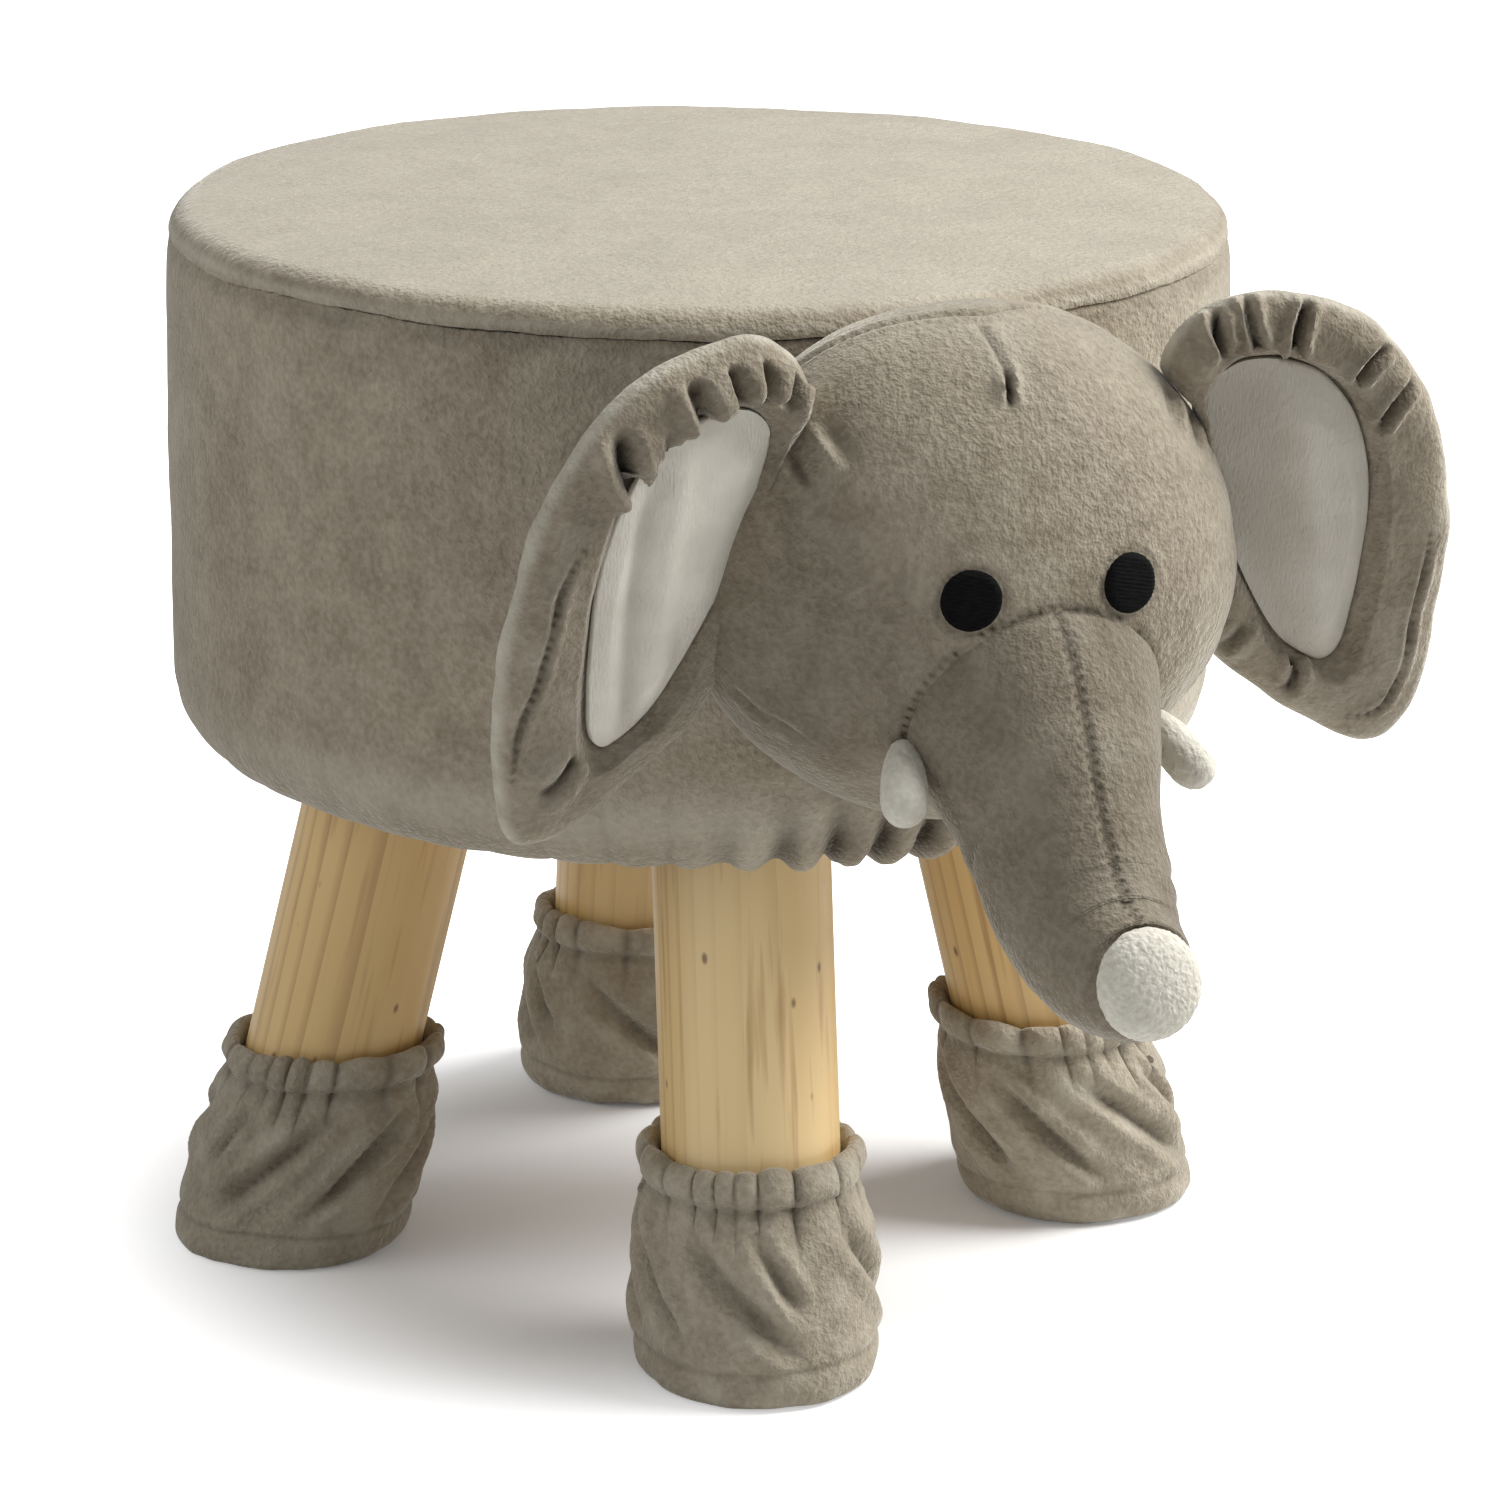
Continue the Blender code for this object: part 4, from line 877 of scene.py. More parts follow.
# %% [markdown]
# ## The legs
# Each leg is a pine dowel that leans outwards and is sawn level at both ends. One upright cylinder is
# cut into sixteen bands with bisect, its edges are broken with a small bevel, and it's copied four
# times. Each copy's points slide inwards as they rise, so the leg leans while its ends stay level, and
# it's widened to keep its section round. The places of the upright dowel are kept on the mesh as a
# `grain` attribute, so the grain follows the slant, and each leg reads the wood at another place.


# %% Legs
LEG_BANDS = 16


def foot_of(name):
    """The foot's middle on the floor, and the turn of the leg round the stool."""
    middle = middle_of("bootie_sole_" + name)
    spot = Vector((middle.x, middle.y, 0))
    out = spot - Vector((SEAT.x, SEAT.y, 0))
    return spot, math.atan2(out.y, out.x)


def leaning(spots, foot, turn):
    """Take points of an upright leg to the leaning one: they slide inwards as they rise."""
    spots = np.array(spots)
    slope = math.tan(LEG_SPLAY)
    x = spots[:, 0] / math.cos(LEG_SPLAY) - spots[:, 2] * slope
    y = spots[:, 1]
    return np.stack([foot.x + x * math.cos(turn) - y * math.sin(turn),
                     foot.y + x * math.sin(turn) + y * math.cos(turn), spots[:, 2]], axis=1)


LEG_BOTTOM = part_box("leg_front")[0].z
let_go()
bpy.ops.mesh.primitive_cylinder_add(vertices=72, radius=LEG_RADIUS, depth=LEG_TOP - LEG_BOTTOM,
                                    location=(0, 0, (LEG_TOP + LEG_BOTTOM) / 2))
leg_model = bpy.context.object
bpy.ops.object.transform_apply(location=True)
bpy.ops.object.mode_set(mode="EDIT")
for band in range(1, LEG_BANDS):
    height = LEG_BOTTOM + (LEG_TOP - LEG_BOTTOM) * band / LEG_BANDS
    bpy.ops.mesh.select_all(action="SELECT")
    bpy.ops.mesh.bisect(plane_co=(0, 0, height), plane_no=(0, 0, 1))
bpy.ops.object.mode_set(mode="OBJECT")
rim = leg_model.modifiers.new("broken edge", "BEVEL")
rim.width = 0.8 * MM
rim.segments = 3
rim.limit_method = "ANGLE"
finish_modifiers(leg_model)
for number, name in enumerate(FEET):
    foot, turn_of_leg = foot_of(name)
    hold(leg_model)
    bpy.ops.object.duplicate()
    leg = bpy.context.object
    leg.name = "pine_leg_" + name
    grain = leg.data.attributes.new("grain", "FLOAT_VECTOR", "POINT")
    twist = math.radians(-35 + 97 * number)
    upright = places(leg)
    turned = upright @ np.array(Matrix.Rotation(twist, 3, "Z")).T + np.array([0, 0, 0.37 * number])
    grain.data.foreach_set("vector", turned.astype(np.float32).ravel())
    put(leg, leaning(upright, foot, turn_of_leg))
    smooth(leg)
    dress(leg, PINE, "stool", "leg_" + name)
hold(leg_model)
bpy.ops.object.delete()

# %% [markdown]
# ## The booties
# A bootie is a plush sock. An elastic in its collar draws it round the leg, so the rim ruffles, and the
# loose cloth below falls in slanting folds to the seam of the round sole. A tube of rings has those
# folds pressed in as grooves that wind round it, each with its own slant, and the collar gets small
# ruffles. The four socks are cut to one pattern, but each is turned on its leg and gathered a little
# differently, and the folds of the one on the elephant's right wind the other way.

# %% Booties
BOOTIE_HEIGHT = 58.5 * MM
BOOTIE_RADIUS = 32.5 * MM
BOOTIE_PROFILE = ((0.750, 0.88), (0.752, 0.950), (0.778, 0.990), (0.835, 1.0), (0.882, 0.972), (0.900, 0.930),
                  (0.893, 0.888), (0.870, 0.860), (0.882, 0.820), (0.905, 0.76), (0.930, 0.66), (0.950, 0.52),
                  (0.967, 0.38), (0.985, 0.27), (0.990, 0.205), (0.970, 0.170), (0.985, 0.125), (0.980, 0.07),
                  (0.95, 0.028), (0.90, 0.010), (0.80, 0.007))
BOOTIE_POINTS = 320
RUFFLES = 18
SOCK_CLOTH = 2.0 * MM
FOLDS = ((0.0, 1.05, 0.83, 0.20, 3.4, 2.2), (0.85, 1.20, 0.81, 0.17, 2.8, 2.6),
         (1.6, 0.80, 0.83, 0.34, 3.4, 1.9), (2.35, 1.25, 0.80, 0.16, 3.0, 2.4),
         (3.2, 1.00, 0.83, 0.20, 3.6, 2.1), (4.0, 1.15, 0.82, 0.17, 2.8, 2.7),
         (4.7, 0.70, 0.83, 0.40, 3.0, 1.8), (5.5, 1.10, 0.81, 0.18, 3.2, 2.4))


def bootie_shape(seed, lean):
    """An upright sock. Each row of FOLDS is start, slant, top, bottom, depth and width."""
    rings = [(BOOTIE_RADIUS * r, BOOTIE_HEIGHT * h) for r, h in curve_through(BOOTIE_PROFILE, 4)]
    sock = ring_stack("bootie", rings, BOOTIE_POINTS, filled=False)
    spots = places(sock)
    angle = np.arctan2(spots[:, 1], spots[:, 0])
    height = spots[:, 2] / BOOTIE_HEIGHT
    radius = np.hypot(spots[:, 0], spots[:, 1]) / BOOTIE_RADIUS
    rim = ramp(radius, 0.76, 0.88) * ramp(height, 0.85, 0.91)
    waist = bell(height - 0.845, 0.035)
    under = bell(height - 0.80, 0.11) * (height < 0.86)
    uneven = 1.3 * np.sin(2 * angle + seed) + 0.9 * np.sin(3 * angle + 2 * seed)
    uneven += 0.5 * np.sin(5 * angle + 3 * seed)
    ruffle = np.abs(np.cos(RUFFLES / 2 * angle + uneven + seed))
    rounded = np.sqrt(ruffle)
    loose = 1 + 0.45 * np.sin(4 * angle + 2 * seed) + 0.3 * np.sin(9 * angle + seed)
    puffed = loose * (2.3 * rim * (rounded - 0.62) - 2.2 * under * (1 - rounded)) - 0.4 * waist
    lifted = 1.5 * loose * (rounded - 0.6) + 0.7 * np.sin(2 * angle + seed)
    spots[:, 2] += MM * lifted * ramp(height, 0.93, 1.0)
    spots[:, :2] *= (1 + puffed * MM / BOOTIE_RADIUS)[:, None]
    put(sock, spots)
    # Each fold is pressed in with painted shade along its bottom.
    for start, slant, top, bottom, depth, width in FOLDS:
        heights = np.linspace(top, bottom, 9)
        bend = start + 1.9 * seed + lean * slant * (top - heights) / 0.6
        line = np.stack([BOOTIE_RADIUS * 0.97 * np.cos(bend), BOOTIE_RADIUS * 0.97 * np.sin(bend),
                         BOOTIE_HEIGHT * heights], axis=1)
        crease_and_painted_shade(sock, line, depth * MM, width * MM, fade=0.35, ridge=0.60, shade=0.42)
    # Painted shade at the elastic's waist, in the gaps between the ruffles and along the sole's seam. The
    # sock is also lightened a little all over, and in random patches of pile.
    sole_seam = bell(height - 0.172 - 0.010 * np.sin(3 * angle + seed), 0.014)
    gaps = np.clip(1 - 2.5 * ruffle, 0, 1) * (rim + 0.6 * under)
    note(sock, "crease_and_painted_shade", 0.50 * waist * (1 - 0.6 * rounded) + 0.45 * gaps + 0.22 * sole_seam)
    note(sock, "nap_and_painted_light", 0.10 + 0.30 * patches(places(sock), 9 * MM, seed, 1.5, 0.1))
    swell(sock, 17 * MM, 0.8 * MM, seed + 0.3)
    swell(sock, 6 * MM, 0.35 * MM, seed + 4.3)
    spots = places(sock)
    spots[:, 2] = np.maximum(spots[:, 2], 0.2 * MM)
    return put(sock, spots)


for number, name in enumerate(FEET):
    foot, turn_of_leg = foot_of(name)
    body = "bootie_" + name
    sock = bootie_shape(0.7 + 1.3 * number, -1 if name == "right" else 1)
    sock.name = "sock_" + name
    put(sock, leaning(places(sock), foot, turn_of_leg))
    wall(sock, SOCK_CLOTH)
    smooth(sock)
    dress(sock, GREY_PLUSH, body, "bootie_" + name)
    sole_rings = [(0.5 * MM, 3.2 * MM), (27.5 * MM, 3.2 * MM), (28.3 * MM, 2.4 * MM), (28.5 * MM, 1.2 * MM),
                  (27.6 * MM, 0.2 * MM), (26.5 * MM, 0), (0.5 * MM, 0)]
    sole = ring_stack("sole_" + name, sole_rings, 96)
    put(sole, leaning(places(sole), foot, turn_of_leg))
    smooth(sole)
    dress(sole, GREY_PLUSH, body, "bootie_sole_" + name)

# %% [markdown]
# ## Pieces shaped on their own grid
# The head's trunk and ears are tubes and pads whose sections change all the way. For these a plain
# sleeve of rings is drawn out first, and each point is then put in its place from its turn round the
# sleeve and its row along it, as a sculptor would pull a cylinder into shape. The two open ends are
# merged to a point, so the piece is closed.


# %% Sleeves
def sleeve(name, rows, points):
    """A plain sleeve, with each point's turn (0 to 1) and row."""
    piece = ring_stack(name, [(20 * MM, row * MM) for row in range(rows)], points, filled=False)
    spots = places(piece)
    turns = np.arctan2(spots[:, 1], spots[:, 0]) / (2 * math.pi) % 1
    return piece, turns, np.rint(spots[:, 2] / MM).astype(int)


def points_in_row(shape, row):
    """The points of an edit mesh that lie in one row of a sleeve."""
    layer = shape.verts.layers.int["row"]
    return [vert for vert in shape.verts if vert[layer] == row]


def close_ends(piece, row):
    """Merge the first and the last ring of a sleeve to a point each, and turn its faces outwards."""
    marks = piece.data.attributes.new("row", "INT", "POINT")
    marks.data.foreach_set("value", row.astype(np.int32))
    for end in (int(row.min()), int(row.max())):
        merge_picked(piece, lambda shape: points_in_row(shape, end))
    face_outwards()
    return piece


def wheel(radius, turns):
    """How far across and how far up a point lies at a radius and a turn."""
    return radius * np.cos(2 * math.pi * turns), radius * np.sin(2 * math.pi * turns)


# %% [markdown]
# ## The trunk's shape
# The trunk leaves the middle of the face, swells forward and hangs down to its upturned end. Its middle
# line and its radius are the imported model's. Where it meets the round of the head is worked out here
# first, because the seam, its groove in both pieces and its stitches all follow that one line.

# %% Trunk and head surfaces
TRUNK_START = HEAD + Vector((0, -6, -17)) * MM
TRUNK_REACH, TRUNK_DROP, TRUNK_RADIUS = 94 * MM, 61 * MM, 34 * MM
TRUNK_SHARES = ((0, 0, 1), (0.262, 0.148, 0.954), (0.414, 0.361, 0.809), (0.537, 0.596, 0.656),
                (0.668, 0.844, 0.595), (0.809, 0.972, 0.519), (0.947, 0.998, 0.431), (1.0, 0.985, 0.340))
TRUNK_WIDE_PLACES = (0.0, 0.26, 0.41, 0.81, 0.95)
TRUNK_WIDE_SHARES = (1.01, 1.04, 1.09, 1.10, 1.05)
TRUNK_LINE = curve_through(TRUNK_SHARES, 24)


def trunk_at(share, turns):
    """Points of the trunk's skin at a share of its length and a turn, 0.25 being its upper ridge."""
    spot = np.clip(share, 0, 1) * (len(TRUNK_LINE) - 1)
    index = np.minimum(spot.astype(int), len(TRUNK_LINE) - 2)
    mixed = TRUNK_LINE[index] + (TRUNK_LINE[index + 1] - TRUNK_LINE[index]) * (spot - index)[:, None]
    ahead = TRUNK_LINE[np.minimum(index + 2, len(TRUNK_LINE) - 1)] - TRUNK_LINE[np.maximum(index - 1, 0)]
    forward, drop = ahead[:, 0] * TRUNK_REACH, ahead[:, 1] * TRUNK_DROP
    tangent = unit(np.stack([0 * forward, -forward, -drop], axis=1))
    up = np.stack([0 * forward, tangent[:, 2], -tangent[:, 1]], axis=1)
    way = np.stack([0 * forward, -TRUNK_REACH * mixed[:, 0], -TRUNK_DROP * mixed[:, 1]], axis=1)
    middle = np.array(TRUNK_START) + way
    radius = TRUNK_RADIUS * mixed[:, 2]
    around = 2 * math.pi * turns
    skin = middle + up * (radius * np.sin(around))[:, None]
    wide = np.interp((TRUNK_START.y - skin[:, 1]) / TRUNK_REACH, TRUNK_WIDE_PLACES, TRUNK_WIDE_SHARES)
    skin[:, 0] += radius * np.cos(around) * wide
    return skin


def head_depth(spots):
    """0 at the head's middle, 1 on its surface."""
    return np.linalg.norm((np.asarray(spots) - np.array(HEAD)) / np.array(HEAD_SIZE), axis=1)


def root_share(turns):
    """The share of the trunk's length at which it comes out of the head, for each turn."""
    found = np.zeros(len(turns))
    steps = np.linspace(0, 0.75, 260)
    inside = np.array([head_depth(trunk_at(np.full(len(turns), step), turns)) < 1 for step in steps])
    for column in range(len(turns)):
        last = np.nonzero(inside[:, column])[0]
        found[column] = steps[last[-1]] if len(last) else 0
    return found


ROOT_TURNS = np.linspace(0, 1, 181)[:-1]
ROOT_SHARES = root_share(ROOT_TURNS)
ROOT_SHARES = (ROOT_SHARES + np.roll(ROOT_SHARES, 1) + np.roll(ROOT_SHARES, -1)) / 3
ROOT_LINE = trunk_at(ROOT_SHARES, ROOT_TURNS)
ROOT_LINE = np.vstack([ROOT_LINE, ROOT_LINE[:1]])
print("trunk's seam", len(ROOT_LINE), "points, widest", round(2 * ROOT_LINE[:, 0].max(), 4))

# %% [markdown]
# ## The head
# The head is a stuffed ball, a little higher than deep. A ball made from a subdivided cube has no poles
# and even faces all over, so seams can be pressed in anywhere. Its back is hollowed by the drum that
# it's sewn to. Then come its seams and folds: a stitched seam over the crown from ear to ear, a dart
# down the forehead, tucks beside the ears, soft folds low on the cheeks, a shallow ring round each eye,
# and the stitched line where the trunk is set in. A row of HEAD_FOLDS says how deep and wide a fold is,
# how it fades, how high its lips stand and how dark it is, and then where it runs.

# %% Head
HEAD_CUTS = 107
CHEEK_SWELL = 2 * MM
DRUM_GAP = 0.5 * MM
CROWN_SPAN, CROWN_DEPTH = 60, -9
DART = ((-3.4, -11.5, 62.2), (-3.2, -19.3, 59), (-3.2, -27.4, 53.5), (-4.7, -33.2, 47.6), (-5.8, -35.6, 44.6))
EYE_RADIUS, EYE_SPREAD, EYE_RISE, EYE_THICK = 7.5 * MM, 20.8 * MM, 4 * MM, 0.9 * MM
EYE_RING = 8.1 * MM
HEAD_FOLDS = ((-1.7, 1.7, 0.45, 0.7, 0.0, ((48.8, -13.6, 42.5), (47.6, -22.4, 37.1), (45.5, -29.1, 31.2))),
              (1.3, 1.7, 0.45, 0.7, 0.5, ((53.5, -12, 37), (53, -19, 33), (50.5, -26, 27))),
              (0.8, 1.5, 0.50, 0.6, 0.15, ((65, -10, -20), (60, -15, -26), (54, -20, -32))),
              (0.8, 1.5, 0.50, 0.6, 0.15, ((62, -16, -24), (57, -21, -30), (52, -25, -37))))

let_go()
bpy.ops.mesh.primitive_cube_add(size=2 * HEAD_SIZE.z, location=(0, 0, 0))
plush_head = bpy.context.object
plush_head.name = "plush_head"
bpy.ops.object.mode_set(mode="EDIT")
bpy.ops.mesh.select_all(action="SELECT")
bpy.ops.mesh.subdivide(number_cuts=HEAD_CUTS)
bpy.ops.transform.tosphere(value=1)
let_go()


def head_skin(directions):
    """Points of the head's surface in given directions from its middle."""
    ball = unit(directions)
    spots = ball * np.array(HEAD_SIZE)
    cheek = np.clip(1 - ((ball[:, 2] + 0.32) / 0.4) ** 2, 0, None)
    spots[:, 0] += CHEEK_SWELL * cheek * ball[:, 0]
    return spots + np.array(HEAD)


def off_drum(spots, radius):
    """Push points out of the drum."""
    out = spots[:, :2] - np.array([SEAT.x, SEAT.y])
    gap = np.linalg.norm(out, axis=1)
    spots = spots.copy()
    short = gap < radius
    spots[short, :2] += (out * (radius / gap - 1)[:, None])[short]
    return spots


put(plush_head, off_drum(head_skin(places(plush_head)), SEAT_RADIUS + DRUM_GAP))
swell(plush_head, 34 * MM, 0.8 * MM, 2.2)
swell(plush_head, 5 * MM, 0.12 * MM, 6.2)


def on_head(*spots):
    """Points on the head from (across, depth, up) in millimetres from its middle."""
    return head_skin(np.array(spots, float) / (np.array(HEAD_SIZE) / MM))


def crown_at(across):
    """A point of the seam over the crown, on the head's outline, in millimetres from its middle."""
    up = HEAD_SIZE.z / MM * math.sqrt(max(0, 1 - (across * MM / HEAD_SIZE.x) ** 2))
    return across, CROWN_DEPTH + 0.33 * abs(across), up


def round_eye(side):
    """A circle just outside the eye, in millimetres from the head's middle."""
    across, up = wheel(EYE_RING, np.linspace(0, 1, 40))
    across, up = across + side * EYE_SPREAD, up + EYE_RISE
    depth = -np.sqrt(1 - (across / HEAD_SIZE.x) ** 2) * HEAD_SIZE.y
    return np.stack([across, depth, up], axis=1) / MM


# %% Seams and folds of the head
# Every groove below gets painted shade along its bottom, and the stitched seams get painted shade in their
# pits.
crown = on_head(*[crown_at(across) for across in range(-CROWN_SPAN, CROWN_SPAN + 1, 4)])
crease_and_painted_shade(plush_head, crown, 0.9 * MM, 1.1 * MM, fade=0.12, ridge=0.5, shade=0.20)
stitched(plush_head, crown, 3.2 * MM, 1.0 * MM, 0.8)
dart = on_head(*curve_through(DART, 5))
crease_and_painted_shade(plush_head, dart, 0.8 * MM, 1.0 * MM, fade=0.15, ridge=0.5, shade=0.45)
crease_and_painted_shade(plush_head, dart[9:19], 1.5 * MM, 0.9 * MM, fade=0.45, ridge=0.9, shade=0.9)
for side in (-1, 1):
    for depth, width, fade, ridge, shade, fold in HEAD_FOLDS:
        line = on_head(*curve_through([(side * x, y, z) for x, y, z in fold], 6))
        crease_and_painted_shade(plush_head, line, depth * MM, width * MM, fade=fade, ridge=ridge, shade=shade)
    crease_and_painted_shade(plush_head, on_head(*round_eye(side)), 0.45 * MM, 0.8 * MM, fade=0, ridge=0.5, shade=0.35)
crease_and_painted_shade(plush_head, ROOT_LINE, 0.5 * MM, 0.9 * MM, fade=0, ridge=0.3, shade=0.25)
# The head is darkened a little all over, and more on its lower left as painted shade where the ear's shadow
# falls. Its top is lighter as painted light, and random patches of pile are lighter too.
spots = places(plush_head)
above = spots[:, 2] - HEAD.z
painted_ear_shadow = ramp(spots[:, 0], -12 * MM, -52 * MM) * ramp(above, 30 * MM, -10 * MM)
brushed = 0.22 * patches(spots, 15 * MM, 2.7, 1.3, 0.1)
note(plush_head, "crease_and_painted_shade", 0.05 + 0.32 * painted_ear_shadow)
note(plush_head, "nap_and_painted_light", 0.12 * ramp(above, 25 * MM, 55 * MM) + brushed)
stitched(plush_head, ROOT_LINE, 2.6 * MM, 1.0 * MM, 0.75)
smooth(plush_head, 80)
dress(plush_head, GREY_PLUSH, "stool", "head")

# %% [markdown]
# ## The trunk
# A tapering tube of plush, its skin a sleeve from the seam on the face to the rim round the pale cap. It
# starts a little inside the head, tucks in at the seam, and has a second seam along its ridge, whose
# edges pucker between the stitches. Short folds cross its sides where it bends. Each is a depth
# and three points, each a share of the trunk's length and a turn round it.

# %% Trunk
TRUNK_ROWS, TRUNK_POINTS = 215, 320
TRUNK_TUCK = (0.80, 0.90, 0.97)
TRUNK_END = ((1.2, 0.99), (2.2, 0.95), (2.6, 0.91), (2.2, 0.87), (0.6, 0.80), (0.2, 0.3))
TRUNK_FOLDS = ((0.7, ((0.50, 0.60), (0.45, 0.53), (0.40, 0.42))),
               (0.6, ((0.60, 0.98), (0.57, 1.03), (0.55, 1.12))),
               (0.6, ((0.66, 1.04), (0.655, 1.12), (0.66, 1.19))),
               (0.7, ((0.71, 1.02), (0.71, 1.10), (0.72, 1.18))),
               (0.5, ((0.77, 1.04), (0.775, 1.11), (0.785, 1.17))),
               (0.6, ((0.72, 0.86), (0.67, 0.93), (0.63, 0.99))))
UPPER_TURN = 0.25


def scaled_about(spots, middle, scale):
    """Points drawn towards a middle."""
    return middle + (spots - middle) * scale


trunk, turns, row = sleeve("plush_trunk", TRUNK_ROWS, TRUNK_POINTS)
start = np.interp(turns, np.append(ROOT_TURNS, 1), np.append(ROOT_SHARES, ROOT_SHARES[0]))
along = np.clip((row - 3) / (TRUNK_ROWS - 9), 0, 1)
share = start + (1 - start) * along ** 1.15
spots = trunk_at(share, turns)
for end_row, scale in enumerate(TRUNK_TUCK):
    chosen = row == end_row
    spots[chosen] = scaled_about(spots[chosen], np.array(HEAD), scale)
quarters = np.arange(4) / 4
trunk_end = trunk_at(np.ones(4), quarters).mean(axis=0)
trunk_way = unit((trunk_end - trunk_at(np.full(4, 0.97), quarters).mean(axis=0))[None])[0]
for end_row, (rise, scale) in enumerate(TRUNK_END, TRUNK_ROWS - len(TRUNK_END)):
    chosen = row == end_row
    spots[chosen] = scaled_about(spots[chosen], trunk_end, scale) + trunk_way * rise * MM
put(trunk, spots)
close_ends(trunk, row)
swell(trunk, 24 * MM, 0.8 * MM, 4.4)
# The seam to the head is pressed in, with painted shade along its bottom.
gap, _ = along_line(places(trunk), ROOT_LINE)
raise_by(trunk, (0.2 * bell(gap - 3 * MM, 2 * MM) - 0.6 * bell(gap, 1.3 * MM)) * MM)
note(trunk, "crease_and_painted_shade", 0.25 * bell(gap, 1.0 * MM))

# %% Trunk's ridge seam and folds
STITCH_PITCH = 2.9 * MM
ridge_shares = np.linspace(ROOT_SHARES[45], 0.995, 140)
RIDGE = trunk_at(ridge_shares, np.full(140, UPPER_TURN))
spots = places(trunk)
gap, reach = along_line(spots, RIDGE)
lateral = np.abs(spots[:, 0])
turns_of_thread = reach * length_of(RIDGE) / STITCH_PITCH + np.where(spots[:, 0] > 0, 0.0, 0.5)
from_hole = (turns_of_thread % 1 - 0.5) * STITCH_PITCH
hole = bell(np.hypot(from_hole, lateral - 1.15 * MM), 0.62 * MM) * (gap < 4 * MM)
pucker = np.cos(2 * math.pi * turns_of_thread) * bell(lateral - 1.6 * MM, 1.6 * MM) * (gap < 6 * MM)
# The ridge seam, its stitch holes and the folds below are pressed in and get painted shade.
raise_by(trunk, -(0.60 * bell(gap, 0.8 * MM) + 0.65 * hole + 0.22 * pucker) * MM)
note(trunk, "crease_and_painted_shade", 0.30 * bell(gap, 0.7 * MM) + 0.42 * hole)
for depth, fold in TRUNK_FOLDS:
    shares = curve_through(fold, 6)
    line = trunk_at(shares[:, 0], shares[:, 1] % 1)
    crease_and_painted_shade(trunk, line, depth * MM, 1.8 * MM, fade=0.5, ridge=0.7, shade=0.15)
swell(trunk, 5 * MM, 0.12 * MM, 8.4)
spots = places(trunk)
# Painted shade: the trunk is darkened all over, and a little more on its right side, which faces the key
# lamp. Its lighter patches are the pile's own.
note(trunk, "crease_and_painted_shade", 0.36 + 0.08 * ramp(spots[:, 0], 0, 20 * MM))
note(trunk, "nap_and_painted_light", 0.22 * patches(spots, 14 * MM, 6.7, 1.4, 0.15))
smooth(trunk, 80)
dress(trunk, GREY_PLUSH, "stool", "trunk")

# %% [markdown]
# ## The pale cap and the tusks
# The cap and the tusks are cut from an off-white plush with a longer pile. The pile is real geometry
# here: a dense mesh whose points are pushed in and out by fine noise, so the outline is fuzzy too.


# %% Fuzz
def fuzz(piece, height, size, seed):
    """Push the surface in and out in tufts of a size, and paint shade into the hollows."""
    spots = places(piece)
    tufts = lumps(spots, size, seed) + 0.6 * lumps(spots, size / 2, seed + 5)
    raise_by(piece, height * tufts)
    note(piece, "crease_and_painted_shade", np.clip(-0.22 * tufts, 0, 0.5))
    return piece


# %% Trunk's cap
TIP_RADIUS, TIP_RISE = 13.3 * MM, 8 * MM
TIP_ROWS, TIP_BACK_ROWS = 56, 8
cap, turns, row = sleeve("trunk_cap", TIP_ROWS, 220)
climb = np.clip((row - TIP_BACK_ROWS) / (TIP_ROWS - 1 - TIP_BACK_ROWS), 0, 1) * math.pi / 2
out = np.where(row < TIP_BACK_ROWS, row / TIP_BACK_ROWS, np.cos(climb))
across, up = wheel(np.clip(out, 0.01, 1) * TIP_RADIUS, turns)
high = TIP_RISE * np.sin(climb) ** 0.85 + 0.6 * MM
face_x = np.array((1.0, 0, 0))
face_y = np.cross(trunk_way, face_x)
put(cap, trunk_end + face_x * across[:, None] + face_y * up[:, None] + trunk_way * high[:, None])
close_ends(cap, row)
fuzz(cap, 0.22 * MM, 1.3 * MM, 1.7)
smooth(cap, 180)
dress(cap, PALE_PLUSH, "stool", "trunk_tip")

# %% Tusks
TUSK_LENGTH, TUSK_RADIUS = 24 * MM, 5.7 * MM
TUSK_LEAN, TUSK_SPREAD = math.radians(51.7), math.radians(19)
TUSK_TIP = (40.4, -53.8, -46.5)
TUSK_PROFILE = ((0.02, 0.0), (0.45, 0.02), (0.80, 0.10), (0.98, 0.22), (1.0, 0.34), (0.97, 0.50),
                (0.88, 0.66), (0.70, 0.82), (0.45, 0.95), (0.10, 1.0))
profile = curve_through(TUSK_PROFILE, 5)
for side, name in ((1, "left"), (-1, "right")):
    tusk, turns, row = sleeve("plush_tusk_" + name, len(profile), 110)
    across, up = wheel(TUSK_RADIUS * profile[row, 0], turns)
    upright = np.stack([across, up, TUSK_LENGTH * profile[row, 1]], axis=1)
    lean = Matrix.Rotation(-TUSK_LEAN, 3, "X") @ Matrix.Rotation(-side * TUSK_SPREAD, 3, "Y")
    tip = HEAD + Vector((side * TUSK_TIP[0], TUSK_TIP[1], TUSK_TIP[2])) * MM
    put(tusk, upright @ np.array(lean).T + np.array(tip))
    close_ends(tusk, row)
    fuzz(tusk, 0.14 * MM, 1.2 * MM, 3.0 + side)
    smooth(tusk, 180)
    dress(tusk, PALE_PLUSH, "stool", "tusk_" + name)

# %% [markdown]
# ## The eyes
# The eyes are machine-embroidered discs of black thread. Each is a low pad of rings laid on the face,
# with rows of satin stitch raised across it, and the plush round it is drawn in a little.

